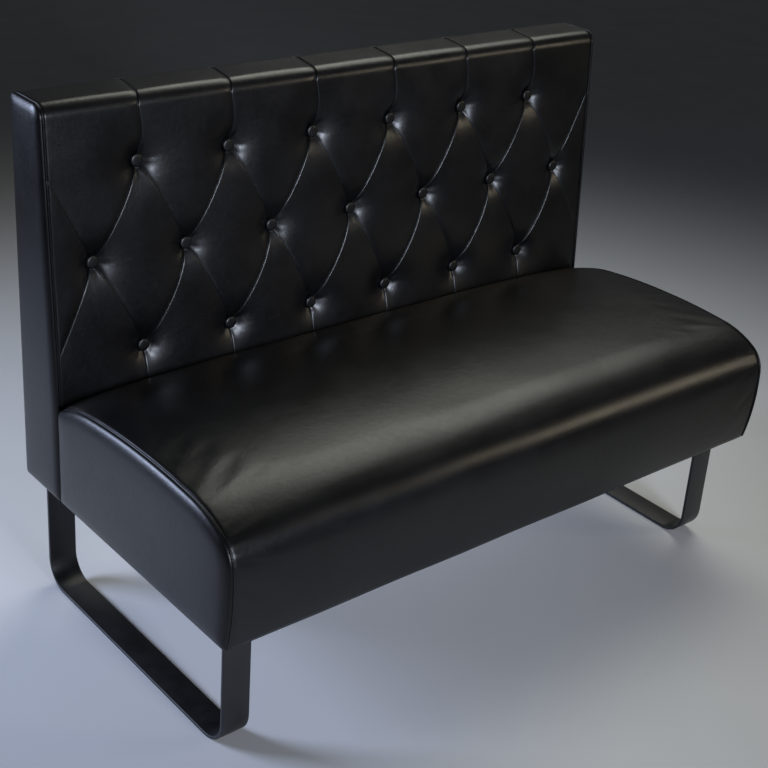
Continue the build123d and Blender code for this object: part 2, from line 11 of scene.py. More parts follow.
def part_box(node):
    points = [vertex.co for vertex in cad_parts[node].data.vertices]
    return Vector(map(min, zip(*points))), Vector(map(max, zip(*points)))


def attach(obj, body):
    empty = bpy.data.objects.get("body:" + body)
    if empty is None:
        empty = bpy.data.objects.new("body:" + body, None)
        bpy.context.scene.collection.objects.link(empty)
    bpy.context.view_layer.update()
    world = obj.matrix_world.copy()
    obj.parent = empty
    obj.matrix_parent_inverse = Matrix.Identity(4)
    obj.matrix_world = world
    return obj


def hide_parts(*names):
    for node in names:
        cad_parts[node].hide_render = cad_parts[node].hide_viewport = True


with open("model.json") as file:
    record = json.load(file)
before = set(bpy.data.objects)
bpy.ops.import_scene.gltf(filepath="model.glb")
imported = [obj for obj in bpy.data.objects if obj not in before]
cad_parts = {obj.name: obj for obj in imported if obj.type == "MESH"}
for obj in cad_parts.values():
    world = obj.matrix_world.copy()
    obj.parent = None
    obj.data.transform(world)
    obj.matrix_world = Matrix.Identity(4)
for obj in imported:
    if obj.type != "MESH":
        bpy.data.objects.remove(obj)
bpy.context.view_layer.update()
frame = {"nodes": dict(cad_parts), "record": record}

bl_info = {
    "name": "Booth bench",
    "version": (1, 0, 0),
    "blender": (4, 5, 0),
    "location": "View3D > Sidebar > Booth bench",
    "description": "Upholstery, legs and finishes of a tufted booth bench",
    "category": "Object",
}

# Lengths are in millimetres; meshes, properties and cameras are in metres.
MM = 0.001
SIDES = ((-1, "left"), (1, "right"))


def place(node):
    """Lowest and highest corner of a node of the frame, in millimetres."""
    low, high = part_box(node)
    return np.array(low) / MM, np.array(high) / MM


# Places taken from the frame
HALF_LENGTH = place("seat_right_side_cover")[1][0]
SIDE_PLANE = place("back_rear_cover")[1][0]
COVER_END = place("seat_cover")[1][0]
REAR_Y = place("back_rear_cover")[1][1]
FRONT_Y = -REAR_Y
FRAME_REAR_Y = place("back_rear_cover")[0][1]
BACK_FACE_Y = place("back_right_side_cover")[0][1]
UNDERSIDE = place("seat_right_side_cover")[0][2]
BENCH_TOP = place("back_right_side_cover")[1][2]
PAD_LOW = place("back_cover")[0][2]
PAD_REAR_Y = place("back_foam")[0][1]
FRAME_TOP = place("back_foam")[1][2]
LEG_LOW, LEG_HIGH = place("right_leg_frame")

# Seat end profile: how far its places lie below the peak, and how far from the back or the front
SEAT_BOX_HEIGHT = 214
SEAT_PEAK = UNDERSIDE + SEAT_BOX_HEIGHT
PEAK_REACH = 250
REAR_DROP = 44
REAR_SHOULDER_DROP = 11
REAR_SHOULDER_REACH = 100
FRONT_SHOULDER_DROP = 4
FRONT_SHOULDER_REACH = 105
BROW_DROP = 27
BROW_REACH = 30
NOSE_DROP = 71
NOSE_REACH = 1.9
FRONT_LEAN = 13

# Crown of the seat: how far each place rises from the ends to the middle, and how flat the crown is
REAR_CROWN = 21
TOP_CROWN = 12
SHOULDER_CROWN = 9
BROW_CROWN = 5
CROWN_POWER = 4

# Back outline and button pattern; the back is upright behind the seat and raked above it
BACK_RAKE = math.radians(3.3)
HINGE_Z = SEAT_PEAK - REAR_DROP
BACK_TOP_ROUNDING = 22
REAR_TOP_ROUNDING = 8
SIDE_ROUNDING = 4
SIDE_PLEAT_RISE = 148
TOP_COUNT = 6
MIDDLE_COUNT = 7
BUTTON_DIAMETER = 23
BUTTON_THICKNESS = 6
PIT_DEPTH = 14

# Pleats: how far each kind bows or drifts sideways, how they fade towards the ends, and their soft side
RISE_BOW = 6
LOW_RISE_BOW = 12
FALL_BOW = 4
TOP_DRIFT = 18
PLEAT_FADE = 14
PLEAT_ROW_REACH = 24
PLEAT_SLANT = 0.87
SOFT_SIDE = 4.5
SOFT_SIDE_POWER = 1.2

# Skin of the back: reach of the swelling and of the hold at the end seams, and its broad waves
PILLOW_REACH = 24
END_HOLD = 3
SKIN_WAVE_HEIGHT = 0.25
SKIN_WAVE_LENGTH = 60

# Tension folds round a button: radius and width of their ring, then height, count and turn of each set
FOLD_RING = 19
FOLD_RING_WIDTH = 8
BUTTON_FOLDS = ((0.3, 7, 1.7), (0.2, 11, 2.9))

# Mesh of the back: shares across half a panel, close together at the pleats, and steps up each stretch
LADDER = np.array((0, 0.3, 0.8, 1.5, 2.3, 3.2, 4.3, 5.8, 8, 11.5, 16.5, 23.5, 32.5, 44, 57, 71, 86)) / 86
SKIN_STEPS = (5, 4, 3, 3, 3.5, 2.6, 5)

# Seat cover: its groove, puckers and drag folds along the end seams, and the broad waves between them
SEAT_COVER_THICKNESS = 9
GROOVE_DEPTH = 1.6
GROOVE_REACH = 3.2
GROOVE_POWER = 1.3
PUCKER_HEIGHT = 0.14
PUCKER_REACH = 9
PUCKER_LENGTH = 5.3
PUCKER_DRIFT = 2
PUCKER_DRIFT_LENGTH = 37
DRAG_HEIGHT = 0.3
DRAG_REACH = 55
DRAG_LENGTH = 16
DRAG_STRETCH = 0.35
SEAT_WAVE_HEIGHT = 0.6
SEAT_WAVE_LENGTH = 70
SEAT_WAVE_STRETCH = 0.8
SEAT_WAVE_FADE = 60

# Mesh of the seat: points on the arc to the rear and on those from there to the toe, and lines near a seam
REAR_POINTS = 16
ARC_POINTS = (42, 18, 20, 24)
NEAR_SEAM = np.array((0, 0.6, 1.4, 2.4, 3.8, 5.5, 8, 11.5, 16, 22, 30))
INNER_START = 38
INNER_COUNT = 150
PROFILE_STEP = 6.0

# Settling of the seat cover: pressure, furthest move, how far from its seams it is held, and for how many
# frames it settles; a point that moves less than the last, in metres, hasn't moved
SETTLING_PRESSURE = 0.4
SETTLING_LIMIT = 0.7
SETTLING_HOLD = 9
SETTLING_FRAMES = 20
NO_MOVE = 1e-9

# Padded panels: width of the rolled edge and height of the crown
SEAT_END_ROLL, SEAT_END_CROWN = 24, 7
BACK_END_ROLL, BACK_END_CROWN = 16, 4
REAR_PANEL_ROLL, REAR_PANEL_CROWN = 12, 0.5
PANEL_WALL = 1.5
CROWN_FALL_OFF = 30

# Mesh of the padded panels: gaps along their outlines, a grid within, and rings where the edge rolls over
SEAT_END_STEP, BACK_END_STEP, REAR_PANEL_STEP = 7, 8, 12
TOP_EDGE_POINTS = 15
REAR_EDGE_POINTS = 9
OUTLINE_STEP = 2
PANEL_GRID = 9
GRID_ROW_SHARE = 0.87
GRID_CLEARANCE = 0.7 * PANEL_GRID
RING_COUNT = 10
RING_CLEARANCE = 0.93

# The triangulation keeps only what lies inside the outline, and merges points closer than the gap
INSIDE_OUTLINE = 1
TRIANGLE_GAP = 0.0001

# Seams: the strip below the cover, its waves, and its stitches
LIP_DEPTH = 6
SEAM_STEP = 1.5
SEAM_START = 6
SEAM_WAVE_LENGTH = 23
SEAM_DRIFT = 1.3
SEAM_DRIFT_LENGTH = 61
STITCH_SWELL = 0.1
WAVE_SWELL = 0.12
LIP_POINTS = 7
SEAM_END_FADE = 5
NOTCH_DEPTH = 0.75
NOTCH_WIDTH = 4
STITCH_SHARE = 0.72
STITCH_WIDTH = 0.9
STITCH_INSET = 0.5
STITCH_SINK = 0.6

# Legs and their welds
LEG_BAR_THICKNESS = 6
LEG_BEND_RADIUS = 47
LEG_EDGE_ROUNDING = 1.2
BEND_POINTS = 25
BAR_EDGE_POINTS = 4
BAR_SHARP_ANGLE = math.radians(40)
WELD_OFFSET = 0.8
REAR_WELD_OFFSET = 0.4
WELD_PITCH = 2.2
WELD_BEAD_LENGTH = 4.5
WELD_BEAD_WIDTH = 3.2
WELD_INSET = 1.5

# Cloths under the bench
CLOTH_THICKNESS = 0.5
CLOTH_SAG = 1.6
CLOTH_STEP = 9
CLOTH_PULL = 0.25
CLOTH_PULL_REACH = 14
STAPLE_SIZE = (10, 1.2, 0.8)
STAPLE_INSET = 7
STAPLE_SINK = 0.2

# Foam blocks: worn edges, and what is merged when a block is taken from the frame
FOAM_EDGE_WEAR = 1.5
FOAM_EDGE_ANGLE = math.radians(50)
FOAM_FLAT_ANGLE = math.radians(1)
FOAM_MERGE_GAP = 0.01

# Meshes: points that are closer than the first are one, and those within the second lie on a line
MERGE_GAP = 0.002
ON_LINE_GAP = 0.01


def button_row(node, count):
    """Places x of a row of evenly spaced buttons, and how far up the face from its lower edge they sit."""
    low, high = place(node)
    pitch = round((high[0] - low[0] - BUTTON_DIAMETER) / (count - 1))
    sunk = (PIT_DEPTH - BUTTON_THICKNESS / 2) * math.sin(BACK_RAKE)
    rise = ((low[2] + high[2]) / 2 - HINGE_Z + sunk) / math.cos(BACK_RAKE)
    return (np.arange(count) - (count - 1) / 2) * pitch, LOW_LENGTH + rise


# Runs along the skin of the back, from its lower edge behind the seat
LOW_LENGTH = HINGE_Z - PAD_LOW
TOP_TURN = math.pi / 2 - BACK_RAKE
RAKED_LENGTH = (BENCH_TOP - HINGE_Z) / math.cos(BACK_RAKE) - BACK_TOP_ROUNDING * math.tan(TOP_TURN / 2)
FACE_LENGTH = LOW_LENGTH + RAKED_LENGTH
TURN_LENGTH = BACK_TOP_ROUNDING * TOP_TURN
TURN_CENTRE_Y = BACK_FACE_Y + RAKED_LENGTH * math.sin(BACK_RAKE) + BACK_TOP_ROUNDING * math.cos(BACK_RAKE)
TOP_LENGTH = FRAME_REAR_Y - TURN_CENTRE_Y
TOP_XS, TOP_RUN = button_row("top_row_buttons", TOP_COUNT)
MIDDLE_XS, MIDDLE_RUN = button_row("middle_row_buttons", MIDDLE_COUNT)
BOTTOM_XS, BOTTOM_RUN = button_row("bottom_row_buttons", TOP_COUNT)
HALF_PITCH = (TOP_XS[1] - TOP_XS[0]) / 2
ROWS = (("top", TOP_XS, TOP_RUN), ("middle", MIDDLE_XS, MIDDLE_RUN), ("bottom", BOTTOM_XS, BOTTOM_RUN))
BUTTONS = [(x, run) for row, xs, run in ROWS for x in xs]


class BenchSizes(bpy.types.PropertyGroup):
    """Sizes of the upholstery that a user may change."""

    pillow: bpy.props.FloatProperty(
        name="Pillow height", description="How far the tufted panels swell between their pleats",
        default=0.0012, unit="LENGTH")
    pleat_depth: bpy.props.FloatProperty(
        name="Pleat depth", description="Depth of a pleat half-way between two buttons",
        default=0.0019, unit="LENGTH")
    pleat_end_depth: bpy.props.FloatProperty(
        name="Pleat depth at a button", description="Depth of a pleat where it runs into a button's pit",
        default=0.0032, unit="LENGTH")
    pleat_roll: bpy.props.FloatProperty(
        name="Pleat roll", description="Radius of the rolled edge of a pleat",
        default=0.0028, unit="LENGTH")
    pit_reach: bpy.props.FloatProperty(
        name="Pit reach", description="How far from a button's edge its pit loses two thirds of its depth",
        default=0.021, unit="LENGTH")
    lip_rise: bpy.props.FloatProperty(
        name="Seam lip rise", description="How far the turned seams stand above the covers",
        default=0.0012, unit="LENGTH")
    stitch_length: bpy.props.FloatProperty(
        name="Stitch length", description="Length of one stitch of the seams",
        default=0.0045, unit="LENGTH")
    staple_pitch: bpy.props.FloatProperty(
        name="Staple spacing", description="Distance between the staples of the cloth underneath",
        default=0.045, unit="LENGTH")


class BenchFinish(bpy.types.PropertyGroup):
    """Colours and gloss that a user may change."""

    cover_colour: bpy.props.StringProperty(
        name="Cover colour", description="sRGB hex colour of the imitation leather", default="050506")
    cover_roughness: bpy.props.FloatProperty(
        name="Cover roughness", description="Roughness of the imitation leather",
        default=0.33, min=0, max=1, subtype="FACTOR")
    leg_colour: bpy.props.StringProperty(
        name="Leg colour", description="sRGB hex colour of the powder coat", default="17181a")
    floor_colour: bpy.props.StringProperty(
        name="Floor colour", description="sRGB hex colour of the floor round the bench", default="dcddde")
    # Painted shade: the colour the floor takes further away, in place of the light fading with distance
    painted_floor_shade_colour: bpy.props.StringProperty(
        name="Far floor colour", description="sRGB hex colour of the floor further away", default="88898b")


# Meshes


def linked(mesh, slot):
    """An object of the scene with this mesh, marked with its slot until it is settled."""
    piece = bpy.data.objects.new(mesh.name, mesh)
    bpy.context.scene.collection.objects.link(piece)
    piece["slot"] = slot
    return piece


def add_piece(name, points, faces, slot):
    """A smooth piece in its slot's finish, from points in millimetres, with doubles merged."""
    mesh = bpy.data.meshes.new(name)
    mesh.from_pydata((np.asarray(points, float) * MM).tolist(), [], faces)
    work = bmesh.new()
    work.from_mesh(mesh)
    bmesh.ops.remove_doubles(work, verts=work.verts, dist=MERGE_GAP * MM)
    bmesh.ops.recalc_face_normals(work, faces=work.faces)
    work.to_mesh(mesh)
    work.free()
    mesh.polygons.foreach_set("use_smooth", [True] * len(mesh.polygons))
    mesh.materials.append(finish(slot))
    return linked(mesh, slot)


def settle(piece, *nodes):
    """The piece rides on the bench, its slot mark is dropped, and these nodes of the frame, which it stands
    for, are hidden.
    """
    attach(piece, "root")
    del piece["slot"]
    if nodes:
        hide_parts(*nodes)


def grid_faces(rows, columns, start=0):
    """Quads of a grid of points that is stored row after row."""
    return [
        (start + r * columns + c, start + r * columns + c + 1,
         start + (r + 1) * columns + c + 1, start + (r + 1) * columns + c)
        for r in range(rows - 1) for c in range(columns - 1)
    ]


def tube_faces(rings, count, start=0):
    """Quads between closed rings of this many points each, stored ring after ring."""
    return [
        (start + r * count + c, start + r * count + (c + 1) % count,
         start + (r + 1) * count + (c + 1) % count, start + (r + 1) * count + c)
        for r in range(rings - 1) for c in range(count)
    ]


def arc_from(start, end, tangent, count):
    """Points of the arc that leaves start along the tangent and ends at end, and its last tangent."""
    start, chord = np.array(start, float), np.subtract(end, start)
    ahead = np.array(tangent, float) / np.linalg.norm(tangent)
    left = np.array((-ahead[1], ahead[0]))
    swing = 2 * math.atan2(chord @ left, chord @ ahead)
    radius = (chord @ chord) / (2 * chord @ left)
    angles = np.linspace(0, swing, count + 1)[:, None]
    points = start + radius * (ahead * np.sin(angles) + left * (1 - np.cos(angles)))
    return points, ahead * math.cos(swing) + left * math.sin(swing)


def first_tangent(a, b, c):
    """Tangent, at the first of three points, of the arc through them."""
    first, second = np.subtract(b, a), np.subtract(c, b)
    first_length, second_length = np.linalg.norm(first), np.linalg.norm(second)
    turn = math.atan2(first[0] * second[1] - first[1] * second[0], first @ second)
    angle = -turn * first_length / (first_length + second_length)
    ahead = first / first_length
    return ahead * math.cos(angle) + np.array((-ahead[1], ahead[0])) * math.sin(angle)


def seat_profile(crown):
    """Side profile (y, z) of the seat from its rear over the top to its toe.

    Crown is the share of the full crown, from 0 at the ends of the bench to 1 in its middle."""
    rear = (BACK_FACE_Y, SEAT_PEAK - REAR_DROP + crown * REAR_CROWN)
    rear_shoulder = (BACK_FACE_Y - REAR_SHOULDER_REACH, SEAT_PEAK - REAR_SHOULDER_DROP + crown * TOP_CROWN)
    peak = (BACK_FACE_Y - PEAK_REACH, SEAT_PEAK + crown * TOP_CROWN)
    front_shoulder = (FRONT_Y + FRONT_SHOULDER_REACH,
                      SEAT_PEAK - FRONT_SHOULDER_DROP + crown * SHOULDER_CROWN)
    brow = (FRONT_Y + BROW_REACH, SEAT_PEAK - BROW_DROP + crown * BROW_CROWN)
    nose = (FRONT_Y + NOSE_REACH, SEAT_PEAK - NOSE_DROP)
    toe = (FRONT_Y + FRONT_LEAN, UNDERSIDE)
    heading = first_tangent(rear_shoulder, peak, front_shoulder)
    pieces = [arc_from(rear_shoulder, rear, -heading, REAR_POINTS)[0][::-1]]
    corners = (rear_shoulder, front_shoulder, brow, nose, toe)
    for start, end, count in zip(corners, corners[1:], ARC_POINTS):
        points, heading = arc_from(start, end, heading, count)
        pieces.append(points[1:])
    return np.vstack(pieces)


def crown_at(x):
    """Share of the full crown at a place along the bench."""
    return math.sqrt(max(0.0, 1 - (abs(x) / COVER_END) ** CROWN_POWER))


def outward(points):
    """Unit normals on the left of a line of 2D points."""
    step = np.gradient(points, axis=0)
    step /= np.linalg.norm(step, axis=1)[:, None]
    return np.stack((-step[:, 1], step[:, 0]), 1)


def spread(points, gap):
    """A closed outline with points added, so that no two neighbours are further apart than the gap."""
    made = []
    for here, there in zip(points, np.roll(points, -1, axis=0)):
        steps = max(1, math.ceil(np.linalg.norm(there - here) / gap))
        made += [here + (there - here) * i / steps for i in range(steps)]
    return np.array(made)


def rounded_off(share):
    """Fall of a quarter-round edge, as a share of its radius: 1 at the edge, 0 from one radius inwards."""
    return 1 - np.sqrt(1 - np.clip(1 - share, 0, 1) ** 2)


def soft_waves(x, y, size):
    """Smooth irregular waves, from -1 to 1, of about this size."""
    u, v = x / size, y / size
    waves = np.sin(2.1 * u + 1.3 * np.sin(1.7 * v)) + np.sin(1.3 * v + 1.9 * np.sin(0.9 * u) + 0.7)
    return (waves + np.sin(1.7 * u - 2.3 * v + 2.1)) / 3


def inner_distance(places, outline):
    """Distance of places from an outline, rounded off in its corners.

    Along a straight edge the sum comes to two over the distance squared."""
    fine = spread(outline, OUTLINE_STEP)
    ahead = np.roll(fine, -1, axis=0)
    steps, middles = np.linalg.norm(ahead - fine, axis=1), (fine + ahead) / 2
    away = np.maximum(np.linalg.norm(places[:, None] - middles[None], axis=2), OUTLINE_STEP / 2)
    return np.sqrt(2 / (steps / away ** 3).sum(1))


def inside(places, outline):
    """Whether each place lies inside a closed outline."""
    here, there = outline, np.roll(outline, -1, axis=0)
    x, y = places[:, :1], places[:, 1:]
    spans = (here[:, 1] > y) != (there[:, 1] > y)
    rise = there[:, 1] - here[:, 1]
    crossing = here[:, 0] + (there[:, 0] - here[:, 0]) * (y - here[:, 1]) / np.where(rise == 0, 1, rise)
    return (spans & (x < crossing)).sum(1) % 2 == 1


def padded_panel(name, outline, lay, thickness, roll, crown):
    """A closed padded panel: flat behind, rolled over along its outline and slightly crowned in front.

    The outline is a line of points in the panel's plane. Lay turns plane coordinates and a height above
    the plane into a place on the bench. Roll is the width of the rolled edge."""
    ahead = np.roll(outline, -1, axis=0)
    edge = ahead - np.roll(outline, 1, axis=0)
    inward = np.stack((-edge[:, 1], edge[:, 0]), 1) / np.linalg.norm(edge, axis=1)[:, None]
    if (outline[:, 0] * ahead[:, 1] - outline[:, 1] * ahead[:, 0]).sum() < 0:
        inward = -inward
    fine = spread(outline, OUTLINE_STEP)

    def kept(places, least):
        """The places inside the outline that are at least this far from it."""
        away = np.linalg.norm(places[:, None] - fine[None], axis=2).min(1)
        return places[inside(places, outline) & (away >= least)]

    turns = np.linspace(0, math.pi / 2, RING_COUNT)[2:]
    rings = [kept(outline + inward * depth, RING_CLEARANCE * depth) for depth in roll * (1 - np.cos(turns))]
    low, high = outline.min(0), outline.max(0)
    grid = [(x + (row % 2) * PANEL_GRID / 2, y)
            for row, y in enumerate(np.arange(low[1], high[1], PANEL_GRID * GRID_ROW_SHARE))
            for x in np.arange(low[0], high[0], PANEL_GRID)]
    places = np.vstack((outline, *rings, kept(np.array(grid), roll + GRID_CLEARANCE)))
    count = len(outline)
    found, _, triangles, sources, _, _ = delaunay_2d_cdt(
        [Vector(point) for point in places], [], [list(range(count))], INSIDE_OUTLINE, TRIANGLE_GAP)
    front = np.array([tuple(point) for point in found])
    rim = {source: i for i, merged in enumerate(sources) for source in merged if source < count}
    inner = inner_distance(front, outline)
    heights = PANEL_WALL + (thickness - PANEL_WALL) * (1 - rounded_off(inner / roll))
    heights += crown * (1 - np.exp(-inner / CROWN_FALL_OFF))
    heights[list(rim.values())] = PANEL_WALL
    total = len(front)
    faces = [tuple(triangle) for triangle in triangles]
    for c in range(count):
        d = (c + 1) % count
        faces.append((rim[c], rim[d], total + d, total + c))
    faces.append(tuple(range(total, total + count)))
    points = np.vstack((lay(front, heights), lay(outline, np.zeros(count))))
    return add_piece(name, points, faces, "black_leatherette")


def end_panels(part, outline, roll, crown):
    """The padded panels on both ends of the seat or of the back, from their outline in (y, z)."""
    for side, word in SIDES:
        def lay(flat, height, side=side):
            return np.column_stack((side * (SIDE_PLANE + height), flat[:, 0], flat[:, 1]))
        piece = padded_panel(f"{part}_{word}_end", outline, lay, HALF_LENGTH - SIDE_PLANE, roll, crown)
        settle(piece, f"{part}_{word}_side_cover")


def sweep_strip(name, path, normals, section, slot, swell):
    """A closed strip: a section of (x, out) points carried along a path of (y, z) points.

    Swell is the share by which the section stands out at each place of the path."""
    x, out = np.array(section, float).T
    outs = np.where(out > 0, np.outer(swell, out), out)
    rings = path[:, None] + outs[:, :, None] * normals[:, None]
    points = np.dstack((np.broadcast_to(x, outs.shape), rings)).reshape(-1, 3)
    count = len(section)
    faces = tube_faces(len(path), count)
    faces += [tuple(range(count)), tuple(range(len(points) - count, len(points)))]
    return add_piece(name, points, faces, slot)


# Tufted back


def back_line(run):
    """Place (y, z) and outward direction of the back's skin at a run along it.

    The run goes up behind the seat, up the raked face, over the rounded top edge and back to the rear."""
    if run < LOW_LENGTH:
        return (BACK_FACE_Y, PAD_LOW + run), (-1.0, 0.0)
    if run <= FACE_LENGTH:
        rise = run - LOW_LENGTH
        normal = (-math.cos(BACK_RAKE), math.sin(BACK_RAKE))
        return (BACK_FACE_Y + rise * normal[1], HINGE_Z - rise * normal[0]), normal
    if run <= FACE_LENGTH + TURN_LENGTH:
        angle = BACK_RAKE + (run - FACE_LENGTH) / BACK_TOP_ROUNDING
        normal = (-math.cos(angle), math.sin(angle))
        place_z = BENCH_TOP - BACK_TOP_ROUNDING * (1 - normal[1])
        return (TURN_CENTRE_Y + BACK_TOP_ROUNDING * normal[0], place_z), normal
    return (TURN_CENTRE_Y + run - FACE_LENGTH - TURN_LENGTH, BENCH_TOP), (0.0, 1.0)


def on_back(x, run, height):
    """Places at these x and heights above the back's skin, at a run along it."""
    base, normal = back_line(run)
    return np.stack((x, base[0] + height * normal[0], base[1] + height * normal[1]), 1)


def face_pleat(x, way, share, upper):
    """Place x of the pleat that leaves a middle button at x, at a share of its way to the next row.

    Way is -1 to the left and 1 to the right. Pleats that rise to the right bow more than the others."""
    bow = FALL_BOW
    if upper == (way > 0):
        bow = RISE_BOW if upper else LOW_RISE_BOW
    return x + way * HALF_PITCH * share + bow * 4 * share * (1 - share)


def pleat_over_top(x, run):
    """Place x of the pleat that leaves a top button upwards, at a run along the skin."""
    from_button = run - TOP_RUN
    to_edge = FACE_LENGTH - TOP_RUN
    if from_button <= to_edge:
        return x + RISE_BOW * math.sin(math.pi * from_button / to_edge)
    return x + TOP_DRIFT * (from_button - to_edge) / (TURN_LENGTH + TOP_LENGTH)


def panel_edges(kind, x, run):
    """Left and right edge of a panel at a run along the skin, or None where it has no width.

    Kinds are the upper and lower panels that end in a point at a middle button, the diamonds between
    them, and the side panels that open from the outermost middle buttons to the ends."""
    up = round((run - MIDDLE_RUN) / (TOP_RUN - MIDDLE_RUN), 6)
    down = round((MIDDLE_RUN - run) / (MIDDLE_RUN - BOTTOM_RUN), 6)
    share, upper = max(up, down), up >= 0
    to_end = round(abs(run - MIDDLE_RUN) / SIDE_PLEAT_RISE, 6)
    end_pleat = math.copysign(abs(x) + (COVER_END - abs(x)) * min(to_end, 1), x)
    if kind == "side":
        return sorted((end_pleat, math.copysign(COVER_END, x))) if to_end <= 1 else None
    if kind == "diamond":
        if share > 1:
            return None
        return face_pleat(x - HALF_PITCH, 1, share, upper), face_pleat(x + HALF_PITCH, -1, share, upper)
    if (up if kind == "upper" else down) < 0:
        return None
    if share <= 1:
        edges = [face_pleat(x, way, share, kind == "upper") for way in (-1, 1)]
    elif kind == "upper":
        edges = [pleat_over_top(x + way * HALF_PITCH, run) for way in (-1, 1)]
    else:
        edges = [x - HALF_PITCH, x + HALF_PITCH]
    if x in (MIDDLE_XS[0], MIDDLE_XS[-1]):
        edges[int(x > 0)] = end_pleat
    return edges


def pleat_depth_at(run, sizes):
    """Depth of the pleats at a run along the skin: deep at the button rows and shallow between them."""
    gap = min(abs(run - row_run) for row_run in (TOP_RUN, MIDDLE_RUN, BOTTOM_RUN))
    near = math.exp(-(gap / PLEAT_ROW_REACH) ** 2)
    return (sizes.pleat_depth * (1 - near) + sizes.pleat_end_depth * near) / MM


def pit_and_folds(x, run, sizes):
    """Depth of the button pits, and of the small tension folds round them, below the face."""
    depth = np.zeros_like(x)
    reach = sizes.pit_reach / MM
    for number, (button_x, button_run) in enumerate(BUTTONS):
        away = np.hypot(x - button_x, run - button_run)
        depth += PIT_DEPTH * np.exp(-np.maximum(away - BUTTON_DIAMETER / 2, 0) / reach)
        turn = np.arctan2(run - button_run, x - button_x)
        ring = np.exp(-((away - FOLD_RING) / FOLD_RING_WIDTH) ** 2)
        for fold_height, folds, shift in BUTTON_FOLDS:
            depth += ring * fold_height * np.sin(folds * turn + shift * number)
    return depth


def skin_height(x, run, left, right, crisp, sizes):
    """Height of a panel's skin above the plain face, for a row of places between its two pleats.

    Crisp says of the left and the right pleat whether the panel rolls over into it or runs out softly."""
    pleat = pleat_depth_at(run, sizes)
    end_gap = COVER_END - np.abs(x)
    gaps, falls = [], []
    for gap, rolls_over, pleat_x in ((x - left, crisp[0], left), (right - x, crisp[1], right)):
        deep = pleat * (1 - math.exp(-max(0, COVER_END - abs(pleat_x)) / PLEAT_FADE))
        gaps.append(np.maximum(gap, 0) * PLEAT_SLANT)
        if rolls_over:
            falls.append(deep * rounded_off(gaps[-1] / (sizes.pleat_roll / MM)))
        else:
            falls.append(deep * np.exp(-(gaps[-1] / SOFT_SIDE) ** SOFT_SIDE_POWER))
    nearest = np.minimum(np.minimum(*gaps), end_gap)
    swell = sizes.pillow / MM * (1 - np.exp(-nearest / PILLOW_REACH))
    held = 1 - np.exp(-end_gap / END_HOLD)
    rounding = SIDE_ROUNDING * rounded_off(end_gap / SIDE_ROUNDING)
    waves = SKIN_WAVE_HEIGHT * soft_waves(x, np.full_like(x, run), SKIN_WAVE_LENGTH)
    return (swell - np.maximum(*falls)) * held - pit_and_folds(x, run, sizes) - rounding + waves


def skin_runs():
    """Runs along the skin where the mesh has a row: at each button row, and evenly between them."""
    turn_end = FACE_LENGTH + TURN_LENGTH
    ends = [0, LOW_LENGTH, BOTTOM_RUN, MIDDLE_RUN, TOP_RUN, FACE_LENGTH, turn_end, turn_end + TOP_LENGTH]
    runs = [0.0]
    for start, end, step in zip(ends, ends[1:], SKIN_STEPS):
        count = round((end - start) / step)
        runs += [start + (end - start) * i / count for i in range(1, count + 1)]
    return runs


def panel_rows(kind, x):
    """The rows of a panel as (run, left, right), and of a side panel also the two where it has closed."""
    runs = skin_runs()
    edges = [(run, panel_edges(kind, x, run)) for run in runs]
    rows = [(run, *pair) for run, pair in edges if pair is not None]
    if kind == "side":
        tip = math.copysign(COVER_END, x)
        first, last = runs.index(rows[0][0]), runs.index(rows[-1][0])
        rows = [(runs[first - 1], tip, tip), *rows, (runs[last + 1], tip, tip)]
    return rows


def crisp_sides(kind, run):
    """Whether a panel rolls over into its left and into its right pleat, or runs out softly there."""
    if kind == "upper":
        return run > TOP_RUN, False
    if kind == "lower":
        return True, True
    return run >= MIDDLE_RUN, run >= MIDDLE_RUN


def tufted_skin(sizes):
    """Points and faces of the tufted face with its wrap over the top."""
    panels = [(kind, x) for kind in ("upper", "lower") for x in MIDDLE_XS]
    panels += [("diamond", x) for x in TOP_XS]
    panels += [("side", MIDDLE_XS[0]), ("side", MIDDLE_XS[-1])]
    shares = np.concatenate((LADDER / 2, 1 - LADDER[-2::-1] / 2))
    points, faces = [], []
    start = 0
    for kind, x in panels:
        rows = panel_rows(kind, x)
        for run, left, right in rows:
            xs = left + (right - left) * shares
            height = skin_height(xs, run, left, right, crisp_sides(kind, run), sizes)
            points.append(on_back(xs, run, height))
        faces += grid_faces(len(rows), len(shares), start)
        start += len(rows) * len(shares)
    return np.vstack(points), faces


